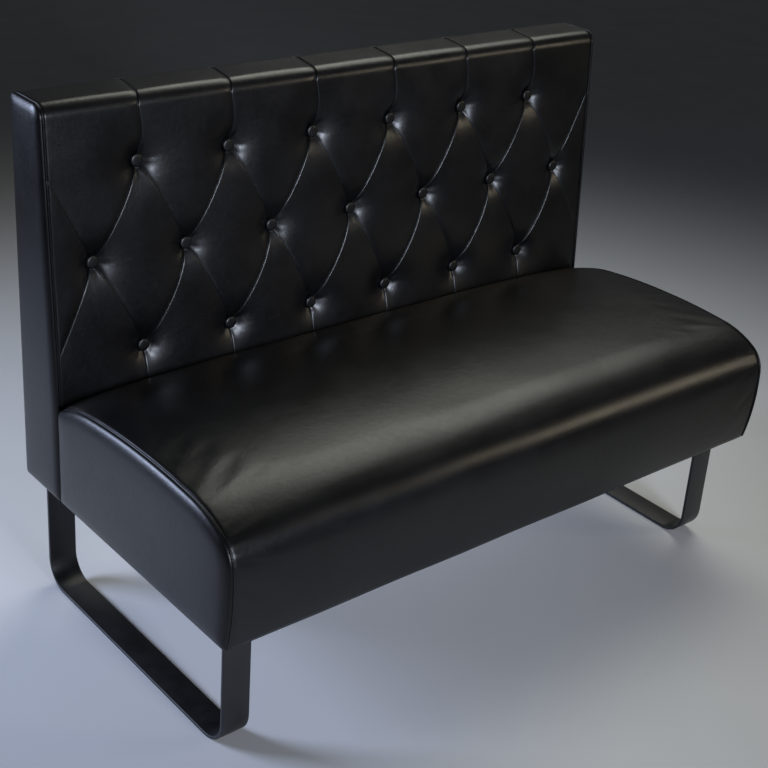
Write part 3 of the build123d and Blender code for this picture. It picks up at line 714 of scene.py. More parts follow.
def close_back(work):
    """Closes the skin into a solid pad: a flat rear, a tucked lower edge and L-shaped ends."""
    rim = [edge for edge in work.edges if edge.is_boundary]
    inner_y = PAD_REAR_Y + (FRAME_TOP - HINGE_Z) * math.tan(BACK_RAKE)
    inner_line = (("low", PAD_REAR_Y, PAD_LOW), ("bend", PAD_REAR_Y, HINGE_Z),
                  ("inner", inner_y, FRAME_TOP), ("rear", FRAME_REAR_Y, FRAME_TOP))
    corners = {(side, label): work.verts.new((side * COVER_END * MM, y * MM, z * MM))
               for side in (-1, 1) for label, y, z in inner_line}
    loops = {"low": set(), "rear": set(), -1: set(), 1: set()}
    for edge in rim:
        ends = [vert.co for vert in edge.verts]
        if all(abs(co.z - PAD_LOW * MM) < ON_LINE_GAP * MM for co in ends):
            loops["low"].update(edge.verts)
        elif all(abs(co.y - FRAME_REAR_Y * MM) < ON_LINE_GAP * MM for co in ends):
            loops["rear"].update(edge.verts)
        else:
            loops[1 if ends[0].x > 0 else -1].update(edge.verts)
    turn_z = (BENCH_TOP - BACK_TOP_ROUNDING) * MM

    def up_and_over(vert):
        """Order of the places on an end: up the face, then over the top to the rear."""
        return (0, vert.co.z) if vert.co.z < turn_z else (1, vert.co.y)

    for label in ("low", "rear"):
        line = sorted(loops[label], key=lambda vert: vert.co.x)
        work.faces.new(line + [corners[1, label], corners[-1, label]])
    for side in (-1, 1):
        line = sorted(loops[side], key=up_and_over)
        work.faces.new(line + [corners[side, label] for label in ("rear", "inner", "bend", "low")])
    for a, b in (("low", "bend"), ("bend", "inner"), ("inner", "rear")):
        work.faces.new((corners[-1, a], corners[1, a], corners[1, b], corners[-1, b]))
    bmesh.ops.recalc_face_normals(work, faces=work.faces)


# Node trees


NOISE_SPAN = (0.35, 0.65)  # where the values of a noise pattern mostly lie


def linear(hex_colour):
    """An sRGB hex colour as linear RGBA."""
    parts = [int(hex_colour[i:i + 2], 16) / 255 for i in (0, 2, 4)]
    return [p / 12.92 if p <= 0.04045 else ((p + 0.055) / 1.055) ** 2.4 for p in parts] + [1.0]


def add_node(tree, kind, values=(), links=(), **settings):
    """A node with its settings, its input values as (input, value) and its links as (input, output)."""
    node = tree.nodes.new(kind)
    for name, value in settings.items():
        setattr(node, name, value)
    for name, value in values:
        node.inputs[name].default_value = value
    for name, output in links:
        tree.links.new(output, node.inputs[name])
    return node


def new_material(name, shader_values):
    """An empty material; returns it, its node tree, its shader, and object coordinates in millimetres."""
    material = bpy.data.materials.new(name)
    material.use_nodes = True
    tree = material.node_tree
    tree.nodes.clear()
    shader = add_node(tree, "ShaderNodeBsdfPrincipled", shader_values)
    add_node(tree, "ShaderNodeOutputMaterial", links=[("Surface", shader.outputs["BSDF"])])
    coordinates = add_node(tree, "ShaderNodeTexCoord")
    millimetres = add_node(
        tree, "ShaderNodeVectorMath", [(1, (1 / MM, 1 / MM, 1 / MM))],
        [(0, coordinates.outputs["Object"])], operation="MULTIPLY")
    return material, tree, shader, millimetres.outputs[0]


def vary_roughness(tree, shader, pattern, low, high, span=NOISE_SPAN):
    """The roughness goes from low to high as the pattern goes over the span."""
    share = add_node(
        tree, "ShaderNodeMapRange",
        [("From Min", span[0]), ("From Max", span[1]), ("To Min", low), ("To Max", high)],
        [("Value", pattern)])
    tree.links.new(share.outputs["Result"], shader.inputs["Roughness"])


def vary_colour(tree, shader, pattern, first, second, span=NOISE_SPAN):
    """The colour goes from the first to the second as the pattern goes over the span."""
    share = add_node(
        tree, "ShaderNodeMapRange", [("From Min", span[0]), ("From Max", span[1])], [("Value", pattern)])
    tint = add_node(
        tree, "ShaderNodeMix", [("A", first), ("B", second)], [("Factor", share.outputs["Result"])],
        data_type="RGBA")
    tree.links.new(tint.outputs["Result"], shader.inputs["Base Color"])


def add_relief(tree, shader, *layers):
    """Patterns that stand up from the surface, one on the other, as (pattern, strength, depth in mm)."""
    below = []
    for pattern, strength, depth in layers:
        bump = add_node(
            tree, "ShaderNodeBump", [("Strength", strength), ("Distance", depth * MM)],
            [("Height", pattern), *below])
        below = [("Normal", bump.outputs["Normal"])]
    tree.links.new(bump.outputs["Normal"], shader.inputs["Normal"])


def leatherette(name, colour, roughness, grain, grain_depth):
    """PVC imitation leather on knitted cloth, calendered and embossed: near black, half gloss, with a fine
    pebble that breaks the gloss up, a little more worn and matt in broad patches."""
    material, tree, shader, mm = new_material(name, [("IOR", 1.43)])
    worn = add_node(
        tree, "ShaderNodeTexNoise", [("Scale", 1 / 90), ("Detail", 4), ("Roughness", 0.6)],
        [("Vector", mm)])
    fine = add_node(
        tree, "ShaderNodeTexNoise", [("Scale", 1 / 7), ("Detail", 5), ("Roughness", 0.65)],
        [("Vector", mm)])
    both = add_node(
        tree, "ShaderNodeMath", [], [(0, worn.outputs["Fac"]), (1, fine.outputs["Fac"])], operation="ADD")
    vary_roughness(tree, shader, both.outputs[0], roughness - 0.03, roughness + 0.04, (0.75, 1.25))
    dark = linear(colour)
    pale = [min(1, part * 1.5 + 0.0006) for part in dark[:3]] + [1]
    vary_colour(tree, shader, worn.outputs["Fac"], dark, pale)
    pebble = add_node(
        tree, "ShaderNodeTexVoronoi", [("Scale", 1 / grain), ("Randomness", 1)], [("Vector", mm)],
        feature="SMOOTH_F1")
    pores = add_node(
        tree, "ShaderNodeMapRange", [("From Min", 0.05), ("From Max", 0.75), ("To Min", 1), ("To Max", 0)],
        [("Value", pebble.outputs["Distance"])])
    creases = add_node(
        tree, "ShaderNodeTexNoise",
        [("Scale", 1 / 14), ("Detail", 6), ("Roughness", 0.7), ("Distortion", 0.6)], [("Vector", mm)])
    add_relief(
        tree, shader, (pores.outputs["Result"], 0.5, grain_depth), (creases.outputs["Fac"], 0.6, 0.5))
    return material


def powder_coat(name, colour):
    """Satin black polyester powder, baked on mild steel: an even skin with a shallow orange peel."""
    material, tree, shader, mm = new_material(name, [("IOR", 1.5)])
    peel = add_node(tree, "ShaderNodeTexNoise", [("Scale", 1 / 1.6), ("Detail", 2)], [("Vector", mm)])
    dull = add_node(
        tree, "ShaderNodeTexNoise", [("Scale", 1 / 40), ("Detail", 5), ("Roughness", 0.7)],
        [("Vector", mm)])
    vary_roughness(tree, shader, dull.outputs["Fac"], 0.38, 0.5)
    dark = linear(colour)
    vary_colour(tree, shader, dull.outputs["Fac"], dark, [part * 1.5 for part in dark[:3]] + [1])
    add_relief(tree, shader, (peel.outputs["Fac"], 0.5, 0.05))
    return material


def zinc_plate(name):
    """Zinc-plated steel, passivated clear: bright, slightly clouded metal."""
    material, tree, shader, mm = new_material(name, [("Metallic", 1), ("Base Color", linear("b9bab6"))])
    cloud = add_node(tree, "ShaderNodeTexNoise", [("Scale", 1 / 5), ("Detail", 4)], [("Vector", mm)])
    vary_roughness(tree, shader, cloud.outputs["Fac"], 0.24, 0.42)
    return material


def sawn_wood(name, colour, dark_colour, ring, stretch):
    """Bare wood, planed or peeled: rings drawn out along the board, matt and open."""
    material, tree, shader, mm = new_material(name, [("Roughness", 0.62)])
    along = add_node(tree, "ShaderNodeMapping", [("Scale", stretch)], [("Vector", mm)])
    grain = add_node(
        tree, "ShaderNodeTexNoise", [("Scale", 1 / ring), ("Detail", 5), ("Distortion", 0.4)],
        [("Vector", along.outputs["Vector"])])
    vary_colour(tree, shader, grain.outputs["Fac"], linear(dark_colour), linear(colour), (0.3, 0.6))
    add_relief(tree, shader, (grain.outputs["Fac"], 0.4, 0.2))
    return material


def cellular(name, colour, cell, depth, roughness):
    """A matt open surface of small cells or fibres, as foamed or spun stuff has."""
    material, tree, shader, mm = new_material(name, [("Roughness", roughness)])
    cells = add_node(tree, "ShaderNodeTexVoronoi", [("Scale", 1 / cell)], [("Vector", mm)])
    pale = linear(colour)
    deep = [part * 0.55 for part in pale[:3]] + [1]
    vary_colour(tree, shader, cells.outputs["Distance"], pale, deep, (0.2, 0.9))
    add_relief(tree, shader, (cells.outputs["Distance"], 0.8, depth))
    return material


def twisted_thread(name, colour):
    """Bonded polyester or waxed cotton thread, twisted: a soft sheen over fine ply lines."""
    material, tree, shader, mm = new_material(name, [("Base Color", linear(colour)), ("Roughness", 0.55)])
    ply = add_node(tree, "ShaderNodeTexWave", [("Scale", 1 / 2.5), ("Distortion", 1)], [("Vector", mm)])
    add_relief(tree, shader, (ply.outputs["Fac"], 0.6, 0.1))
    return material


MATERIALS = {}


def finish(slot):
    """The material of a slot of the record, or of the seams' thread; all are made on first use."""
    if not MATERIALS:
        look = bpy.context.scene.bench_finish
        cover = leatherette(
            "Calendered_PVC_leatherette", look.cover_colour, look.cover_roughness, 1.1, 0.012)
        MATERIALS.update({
            "black_leatherette": cover,
            "seam_leatherette": cover,
            "button_leatherette": leatherette(
                "Stretched_PVC_leatherette", look.cover_colour, look.cover_roughness + 0.04, 0.9, 0.008),
            "leg_steel": powder_coat("Powder_coated_steel", look.leg_colour),
            "zinc_steel": zinc_plate("Zinc_plated_steel"),
            "plywood": sawn_wood("Peeled_birch_plywood", "c6a577", "a9855a", 6, (0.06, 1, 1)),
            "timber": sawn_wood("Planed_pine", "cfae7c", "b08a58", 9, (0.05, 1, 1)),
            "foam": cellular("Cut_polyurethane_foam", "d8cfae", 1.4, 0.5, 0.95),
            "dust_cloth": cellular("Spunbonded_polypropylene", "141414", 1.2, 0.15, 0.85),
            "toggle_plastic": cellular("Moulded_nylon", "2b2b2b", 3, 0.02, 0.5),
            "thread": twisted_thread("Bonded_polyester_thread", "121214"),
            "twine": twisted_thread("Waxed_cotton_twine", "b7ab8d"),
        })
    return MATERIALS[slot]


def new_tree(name, inputs):
    """An empty geometry node tree and its input node; the inputs are (name, kind of socket)."""
    tree = bpy.data.node_groups.new(name, "GeometryNodeTree")
    for label, kind in (("Geometry", "Geometry"), *inputs, ("Material", "Material")):
        tree.interface.new_socket(label, in_out="INPUT", socket_type="NodeSocket" + kind)
    tree.interface.new_socket("Geometry", in_out="OUTPUT", socket_type="NodeSocketGeometry")
    return tree, add_node(tree, "NodeGroupInput")


def end_tree(tree, given, links):
    """Makes copies on points by these links, makes them real, and gives them their material."""
    copies = add_node(tree, "GeometryNodeInstanceOnPoints", links=links)
    real = add_node(tree, "GeometryNodeRealizeInstances", links=[("Geometry", copies.outputs["Instances"])])
    painted = add_node(
        tree, "GeometryNodeSetMaterial",
        links=[("Geometry", real.outputs["Geometry"]), ("Material", given.outputs["Material"])])
    add_node(tree, "NodeGroupOutput", links=[("Geometry", painted.outputs["Geometry"])])
    return tree


def repeat_tree(name):
    """Geometry node tree that lays small rounded bodies along a line: stitches, staples or weld ripples."""
    sizes = ("Spacing", "Length", "Width", "Height")
    tree, given = new_tree(name, [(label, "Float") for label in sizes])
    line = add_node(tree, "GeometryNodeMeshToCurve", links=[("Mesh", given.outputs["Geometry"])])
    spaced = add_node(
        tree, "GeometryNodeResampleCurve",
        links=[("Curve", line.outputs["Curve"]), ("Length", given.outputs["Spacing"])], mode="LENGTH")
    ahead = add_node(tree, "GeometryNodeInputTangent")
    turn = add_node(
        tree, "FunctionNodeAlignRotationToVector", links=[("Vector", ahead.outputs["Tangent"])], axis="X")
    body = add_node(tree, "GeometryNodeMeshIcoSphere", [("Radius", 0.5), ("Subdivisions", 2)])
    smooth = add_node(tree, "GeometryNodeSetShadeSmooth", links=[("Geometry", body.outputs["Mesh"])])
    size = add_node(
        tree, "ShaderNodeCombineXYZ",
        links=[(axis, given.outputs[label]) for axis, label in zip("XYZ", sizes[1:])])
    return end_tree(tree, given, [
        ("Points", spaced.outputs["Curve"]), ("Instance", smooth.outputs["Geometry"]),
        ("Rotation", turn.outputs["Rotation"]), ("Scale", size.outputs["Vector"])])


def button_tree(name):
    """Geometry node tree that sets a covered button on each point, each turned a little differently."""
    tree, given = new_tree(name, (("Button", "Object"), ("Seed", "Int")))
    button = add_node(tree, "GeometryNodeObjectInfo", links=[("Object", given.outputs["Button"])])
    turn = add_node(
        tree, "FunctionNodeRandomValue", [(0, (0, -math.pi, 0)), (1, (0, math.pi, 0))],
        [("Seed", given.outputs["Seed"])], data_type="FLOAT_VECTOR")
    return end_tree(tree, given, [
        ("Points", given.outputs["Geometry"]), ("Instance", button.outputs["Geometry"]),
        ("Rotation", turn.outputs[0])])


TREE_MAKERS = {"Repeat_along_line": repeat_tree, "Buttons_on_points": button_tree}


def grown(name, points, edges, tree_name, inputs, slot):
    """A plain piece made by a geometry node tree from points in millimetres and edges between them."""
    mesh = bpy.data.meshes.new(name)
    mesh.from_pydata((np.asarray(points, float) * MM).tolist(), edges, [])
    piece = linked(mesh, slot)
    tree = bpy.data.node_groups.get(tree_name) or TREE_MAKERS[tree_name](tree_name)
    modifier = piece.modifiers.new("Grown", "NODES")
    modifier.node_group = tree
    for item in tree.interface.items_tree:
        if item.in_out == "INPUT" and item.name in inputs:
            modifier[item.identifier] = inputs[item.name]
    evaluated = piece.evaluated_get(bpy.context.evaluated_depsgraph_get())
    result = bpy.data.meshes.new_from_object(evaluated)
    piece.modifiers.clear()
    piece.data = result
    result.name = name
    return piece


def bodies(spacing, length, width, height, finish_name):
    """Inputs of the tree that lays rounded bodies along a line, from sizes in millimetres."""
    return {"Spacing": spacing * MM, "Length": length * MM, "Width": width * MM, "Height": height * MM,
            "Material": finish(finish_name)}


# Pieces


class BENCH_OT_tufted_back(bpy.types.Operator):
    """Make the tufted front of the back, with its pleats and its wrap over the top edge"""

    bl_idname = "bench.tufted_back"
    bl_label = "Tufted back"

    def execute(self, context):
        points, faces = tufted_skin(context.scene.bench_sizes)
        piece = add_piece("tufted_back_cover", points, faces, "black_leatherette")
        work = bmesh.new()
        work.from_mesh(piece.data)
        close_back(work)
        work.to_mesh(piece.data)
        work.free()
        settle(piece, "back_cover")
        return {"FINISHED"}


# Section of a button as shares of its radius and thickness, from its rear edge round to its flat face
BUTTON_SECTION = ((0.93, 0.0), (1.0, 0.2), (1.0, 0.42), (0.97, 0.62), (0.92, 0.78), (0.84, 0.89),
                  (0.72, 0.95), (0.5, 0.98), (0.25, 0.995))
BUTTON_POINTS = 28
BUTTON_GATHERS = 9
GATHER_SHARE = 0.012
GATHER_START = 0.9


class BENCH_OT_buttons(bpy.types.Operator):
    """Make the covered buttons of each row"""

    bl_idname = "bench.buttons"
    bl_label = "Covered buttons"

    def execute(self, context):
        turns = np.arange(BUTTON_POINTS) * 2 * math.pi / BUTTON_POINTS
        rings = [np.zeros((1, 3))]
        for share, rise in BUTTON_SECTION:
            gathers = 1 + GATHER_SHARE * np.sin(BUTTON_GATHERS * turns) * (share > GATHER_START)
            radius = share * gathers * BUTTON_DIAMETER / 2
            thickness = np.full(BUTTON_POINTS, -rise * BUTTON_THICKNESS)
            rings.append(np.stack((radius * np.cos(turns), thickness, radius * np.sin(turns)), 1))
        points = np.vstack((*rings, (0, -BUTTON_THICKNESS, 0)))
        after = np.roll(range(BUTTON_POINTS), -1)
        last = len(points) - 1 - BUTTON_POINTS
        faces = [(0, 1 + j, 1 + i) for i, j in enumerate(after)]
        faces += tube_faces(len(BUTTON_SECTION), BUTTON_POINTS, 1)
        faces += [(last + i, last + j, len(points) - 1) for i, j in enumerate(after)]
        pattern = add_piece("button_pattern", points, faces, "button_leatherette")
        hinge = Matrix.Translation((0, BACK_FACE_Y * MM, HINGE_Z * MM))
        raked = hinge @ Matrix.Rotation(-BACK_RAKE, 4, "X") @ hinge.inverted()
        for seed, (row, xs, run) in enumerate(ROWS):
            places = [(x, BACK_FACE_Y + PIT_DEPTH, PAD_LOW + run) for x in xs]
            inputs = {"Button": pattern, "Seed": seed, "Material": finish("button_leatherette")}
            piece = grown(
                f"{row}_row_of_buttons", places, [], "Buttons_on_points", inputs, "button_leatherette")
            piece.data.transform(raked)
            settle(piece, f"{row}_row_buttons")
        bpy.data.objects.remove(pattern)
        return {"FINISHED"}


def settled_as_cloth(piece, held):
    """Lets a piece settle as pressed, slightly loose cloth, and applies the result.

    Held is the share by which each point keeps its place. No point moves further than the limit."""
    scene = bpy.context.scene
    group = piece.vertex_groups.new(name="Held")
    for index, share in enumerate(held):
        group.add([index], float(share), "REPLACE")
    modifier = piece.modifiers.new("Settling", "CLOTH")
    settings = modifier.settings
    settings.vertex_group_mass = group.name
    settings.quality = 5
    settings.mass = 0.4
    settings.tension_stiffness = settings.compression_stiffness = 20
    settings.bending_stiffness = 0.6
    settings.use_pressure = True
    settings.uniform_pressure_force = SETTLING_PRESSURE
    settings.effector_weights.gravity = 0
    modifier.collision_settings.use_collision = False
    modifier.point_cache.frame_start, modifier.point_cache.frame_end = 1, SETTLING_FRAMES
    for step in range(1, SETTLING_FRAMES + 1):
        scene.frame_set(step)
    before = np.empty(len(piece.data.vertices) * 3)
    after = np.empty_like(before)
    piece.data.vertices.foreach_get("co", before)
    evaluated = piece.evaluated_get(bpy.context.evaluated_depsgraph_get())
    evaluated.data.vertices.foreach_get("co", after)
    piece.modifiers.remove(modifier)
    piece.vertex_groups.clear()
    moved = (after - before).reshape(-1, 3)
    far = np.linalg.norm(moved, axis=1, keepdims=True)
    limit = SETTLING_LIMIT * MM
    moved *= np.tanh(far / limit) * limit / np.maximum(far, NO_MOVE)
    piece.data.vertices.foreach_set("co", before + moved.ravel())
    piece.data.update()


class BENCH_OT_seat(bpy.types.Operator):
    """Make the crowned seat cover and its padded ends"""

    bl_idname = "bench.seat"
    bl_label = "Seat upholstery"

    def execute(self, context):
        inner_end = COVER_END - INNER_START
        inner_xs = np.linspace(-inner_end, inner_end, INNER_COUNT)
        xs = np.concatenate((-COVER_END + NEAR_SEAM, inner_xs, COVER_END - NEAR_SEAM[::-1]))
        profiles = [seat_profile(crown_at(x)) for x in xs]
        sheet = np.array([np.column_stack((np.full(len(profile), x), profile))
                          for x, profile in zip(xs, profiles)])
        rows, columns = sheet.shape[:2]
        normals = np.cross(np.gradient(sheet, axis=1), np.gradient(sheet, axis=0))
        normals /= np.linalg.norm(normals, axis=2)[:, :, None]
        end_gap = COVER_END - np.abs(sheet[:, :, 0])
        length = np.arange(columns)[None, :] * PROFILE_STEP
        groove = -GROOVE_DEPTH * np.exp(-(end_gap / GROOVE_REACH) ** GROOVE_POWER)
        drift = PUCKER_DRIFT * np.sin(length / PUCKER_DRIFT_LENGTH)
        puckers = np.exp(-end_gap / PUCKER_REACH) * np.sin(length / PUCKER_LENGTH + drift)
        drag = soft_waves(length, end_gap * DRAG_STRETCH, DRAG_LENGTH)
        drag *= np.exp(-(end_gap / DRAG_REACH) ** 2)
        x, y, z = np.moveaxis(sheet, 2, 0)
        waves = soft_waves(x * SEAT_WAVE_STRETCH, y + z, SEAT_WAVE_LENGTH)
        waves *= np.clip(end_gap / SEAT_WAVE_FADE, 0, 1)
        rise = groove + PUCKER_HEIGHT * puckers + DRAG_HEIGHT * drag + SEAT_WAVE_HEIGHT * waves
        sheet += rise[:, :, None] * normals
        faces = grid_faces(rows, columns)
        piece = add_piece("crowned_seat_cover", sheet.reshape(-1, 3), faces, "black_leatherette")
        if piece.data.polygons[len(faces) // 2].normal.z < 0:
            piece.data.flip_normals()
        x, y, z = np.array([vert.co for vert in piece.data.vertices]).T / MM
        nearest = np.minimum(np.minimum(COVER_END - np.abs(x), BACK_FACE_Y - y), z - UNDERSIDE)
        settled_as_cloth(piece, np.clip(1 - nearest / SETTLING_HOLD, 0, 1))
        shell = piece.modifiers.new("Wadding", "SOLIDIFY")
        shell.thickness = SEAT_COVER_THICKNESS * MM
        shell.offset = -1
        settle(piece, "seat_cover")

        outline = np.vstack((seat_profile(0), (FRONT_Y + FRONT_LEAN, UNDERSIDE), (BACK_FACE_Y, UNDERSIDE)))
        end_panels("seat", spread(outline, SEAT_END_STEP), SEAT_END_ROLL, SEAT_END_CROWN)
        return {"FINISHED"}


def front_line():
    """Line (y, z) of the back's front edge, from where it meets the seat up and over its top."""
    turn_end = FACE_LENGTH + TURN_LENGTH
    runs = [LOW_LENGTH, *np.linspace(FACE_LENGTH, turn_end, TOP_EDGE_POINTS), turn_end + TOP_LENGTH]
    return np.array([back_line(run)[0] for run in runs])


def back_outline():
    """Side outline of the back in (y, z), rounded at the top."""
    turns = np.linspace(math.pi / 2, 0, REAR_EDGE_POINTS)[:, None]
    centre = (REAR_Y - REAR_TOP_ROUNDING, BENCH_TOP - REAR_TOP_ROUNDING)
    rear_corner = centre + REAR_TOP_ROUNDING * np.hstack((np.cos(turns), np.sin(turns)))
    return np.vstack(((BACK_FACE_Y, UNDERSIDE), front_line()[:-1], rear_corner, (REAR_Y, UNDERSIDE)))


class BENCH_OT_back_panels(bpy.types.Operator):
    """Make the padded ends of the back and its plain rear panel"""

    bl_idname = "bench.back_panels"
    bl_label = "Back ends and rear"

    def execute(self, context):
        end_panels("back", spread(back_outline(), BACK_END_STEP), BACK_END_ROLL, BACK_END_CROWN)

        def lay(flat, height):
            return np.column_stack((flat[:, 0], FRAME_REAR_Y + height, flat[:, 1]))
        corners = np.array(((-SIDE_PLANE, UNDERSIDE), (SIDE_PLANE, UNDERSIDE),
                            (SIDE_PLANE, BENCH_TOP), (-SIDE_PLANE, BENCH_TOP)))
        piece = padded_panel("rear_panel", spread(corners, REAR_PANEL_STEP), lay, REAR_Y - FRAME_REAR_Y,
                             REAR_PANEL_ROLL, REAR_PANEL_CROWN)
        settle(piece, "back_rear_cover")
        return {"FINISHED"}


def lip_section(side, rise, thickness):
    """Section (x, out) of a turned seam: a thin strip with a rounded outer edge."""
    middle = side * (COVER_END + thickness / 2)
    half = thickness / 2
    turns = np.linspace(0, math.pi, LIP_POINTS)
    rounded = [(middle + half * math.cos(t), rise - half + half * math.sin(t)) for t in turns]
    return [(middle + half, -LIP_DEPTH), *rounded, (middle - half, -LIP_DEPTH)]


def resampled(points, gap):
    """The same line with a point about every gap, and how far along the line each one is."""
    steps = np.linalg.norm(np.diff(points, axis=0), axis=1)
    run = np.concatenate(((0,), np.cumsum(steps)))
    wanted = np.linspace(0, run[-1], max(2, round(run[-1] / gap)))
    return np.stack([np.interp(wanted, run, points[:, i]) for i in (0, 1)], 1), wanted


class BENCH_OT_seams(bpy.types.Operator):
    """Make the turned seams along the ends of seat and back, with their stitches"""

    bl_idname = "bench.seams"
    bl_label = "Turned seams"

    def execute(self, context):
        sizes = context.scene.bench_sizes
        rise, stitch = sizes.lip_rise / MM, sizes.stitch_length / MM
        edge = front_line()
        edge[0] = back_line(LOW_LENGTH + SEAM_START)[0]
        notches = [back_line(MIDDLE_RUN + step * SIDE_PLEAT_RISE)[0][1] for step in (-1, 1)]
        seams = (("seat", seat_profile(0), -1, ()), ("back", edge, 1, notches))
        for part, line, way, notch_heights in seams:
            path, run = resampled(line, SEAM_STEP)
            normals = way * outward(path)
            waves = np.sin(run / SEAM_WAVE_LENGTH + SEAM_DRIFT * np.sin(run / SEAM_DRIFT_LENGTH))
            swell = 1 + STITCH_SWELL * np.sin(2 * math.pi * run / stitch) + WAVE_SWELL * waves
            swell *= 1 - np.exp(-np.minimum(run, run[-1] - run) / SEAM_END_FADE)
            for height in notch_heights:
                swell -= NOTCH_DEPTH * np.exp(-((path[:, 1] - height) / NOTCH_WIDTH) ** 2)
            edges = [(i, i + 1) for i in range(len(path) - 1)]
            for side, word in SIDES:
                name = f"{part}_{word}_seam"
                section = lip_section(side, rise, SIDE_PLANE - COVER_END)
                piece = sweep_strip(name, path, normals, section, "seam_leatherette", swell)
                settle(piece, name + "_lip")
                xs = np.full(len(path), side * (COVER_END - STITCH_INSET))
                inputs = bodies(stitch, STITCH_SHARE * stitch, STITCH_WIDTH, STITCH_WIDTH, "thread")
                places = np.column_stack((xs, path - STITCH_SINK * normals))
                settle(grown(f"{part}_{word}_stitches", places, edges, "Repeat_along_line", inputs,
                             "seam_leatherette"))
        return {"FINISHED"}


class BENCH_OT_legs(bpy.types.Operator):
    """Make the two sled legs of bent flat bar, with the welds under their plates"""

    bl_idname = "bench.legs"
    bl_label = "Sled legs"

    def execute(self, context):
        half = LEG_BAR_THICKNESS / 2
        front, rear = LEG_LOW[1] + half, LEG_HIGH[1] - half
        low, high = LEG_LOW[2] + half, LEG_HIGH[2]
        path, normals = [(front, high)], [(-1, 0)]
        bends = ((front + LEG_BEND_RADIUS, math.pi), (rear - LEG_BEND_RADIUS, 1.5 * math.pi))
        for centre_y, start in bends:
            for turn in np.linspace(start, start + math.pi / 2, BEND_POINTS):
                normal = np.array((math.cos(turn), math.sin(turn)))
                path.append((centre_y, low + LEG_BEND_RADIUS) + LEG_BEND_RADIUS * normal)
                normals.append(normal)
        path, normals = np.array([*path, (rear, high)]), np.array([*normals, (1, 0)])
        width = LEG_HIGH[0] - LEG_LOW[0]
        weld_ys = (front - half - WELD_OFFSET, front + half + WELD_OFFSET,
                   rear - half - WELD_OFFSET, rear + half - REAR_WELD_OFFSET)
        for side, word in SIDES:
            middle = side * (LEG_HIGH[0] + LEG_LOW[0]) / 2
            section = []
            for corner in ((1, 1), (-1, 1), (-1, -1), (1, -1)):
                centre = (middle, 0) + (np.array((width / 2, half)) - LEG_EDGE_ROUNDING) * corner
                start = math.atan2(corner[1], corner[0]) - math.pi / 4
                for turn in np.linspace(start, start + math.pi / 2, BAR_EDGE_POINTS):
                    section.append(centre + LEG_EDGE_ROUNDING * np.array((math.cos(turn), math.sin(turn))))
            piece = sweep_strip(f"{word}_sled_leg", path, normals, section, "leg_steel", np.ones(len(path)))
            piece.data.set_sharp_from_angle(angle=BAR_SHARP_ANGLE)
            settle(piece, f"{word}_leg_frame")
            reach = width / 2 - WELD_INSET
            points = [(x, y, high - WELD_OFFSET) for y in weld_ys for x in (middle - reach, middle + reach)]
            edges = [(i, i + 1) for i in range(0, len(points), 2)]
            inputs = bodies(WELD_PITCH, WELD_BEAD_LENGTH, WELD_BEAD_WIDTH, WELD_BEAD_WIDTH, "leg_steel")
            settle(grown(f"{word}_leg_welds", points, edges, "Repeat_along_line", inputs, "leg_steel"))
        return {"FINISHED"}


class BENCH_OT_foam(bpy.types.Operator):
    """Make the cut foam blocks under the covers"""

    bl_idname = "bench.foam"
    bl_label = "Foam blocks"

    def execute(self, context):
        for node in ("seat_foam", "seat_front_foam", "back_foam"):
            mesh = frame["nodes"][node].data.copy()
            mesh.name = node + "_block"
            work = bmesh.new()
            work.from_mesh(mesh)
            bmesh.ops.remove_doubles(work, verts=work.verts, dist=FOAM_MERGE_GAP * MM)
            bmesh.ops.dissolve_limit(
                work, angle_limit=FOAM_FLAT_ANGLE, verts=work.verts, edges=work.edges)
            work.to_mesh(mesh)
            work.free()
            mesh.materials.clear()
            mesh.materials.append(finish("foam"))
            piece = linked(mesh, "foam")
            edges = piece.modifiers.new("Worn_edges", "BEVEL")
            edges.width = FOAM_EDGE_WEAR * MM
            edges.segments = 2
            edges.angle_limit = FOAM_EDGE_ANGLE
            settle(piece, node)
        return {"FINISHED"}


class BENCH_OT_dust_cloths(bpy.types.Operator):
    """Make the cloths that are stapled under seat and back"""

    bl_idname = "bench.dust_cloths"
    bl_label = "Dust cloths"

    def execute(self, context):
        pitch = context.scene.bench_sizes.staple_pitch / MM
        frames = (("seat", CLOTH_SAG, ["seat_left_end_panel", "seat_right_end_panel", "seat_front_rail"]),
                  ("back", 0, ["back_bottom_rail"]))
        for word, depth, rests_on in frames:
            low, high = place(word + "_dust_cover")
            counts = [round((high[i] - low[i]) / CLOTH_STEP) + 1 for i in (0, 1)]
            x, y = np.meshgrid(*(np.linspace(low[i], high[i], counts[i]) for i in (0, 1)))
            gap = np.minimum(np.minimum(x - low[0], high[0] - x), np.minimum(y - low[1], high[1] - y))
            between = np.cos(2 * math.pi * x / pitch) * np.cos(2 * math.pi * y / pitch)
            pulled = CLOTH_PULL * np.exp(-gap / CLOTH_PULL_REACH) * between
            hang = [np.sin(math.pi * (at - low[i]) / (high[i] - low[i])) for i, at in enumerate((x, y))]
            sag = depth * np.sqrt(np.maximum(hang[0], 0) * np.maximum(hang[1], 0))
            z = np.maximum(UNDERSIDE + CLOTH_THICKNESS - sag + pulled, UNDERSIDE - CLOTH_SAG)
            points = np.stack((x, y, z), 2).reshape(-1, 3)
            piece = add_piece(word + "_dust_cloth", points, grid_faces(*x.shape), "dust_cloth")
            shell = piece.modifiers.new("Cloth", "SOLIDIFY")
            shell.thickness = CLOTH_THICKNESS * MM
            settle(piece, word + "_dust_cover")
        return {"FINISHED"}


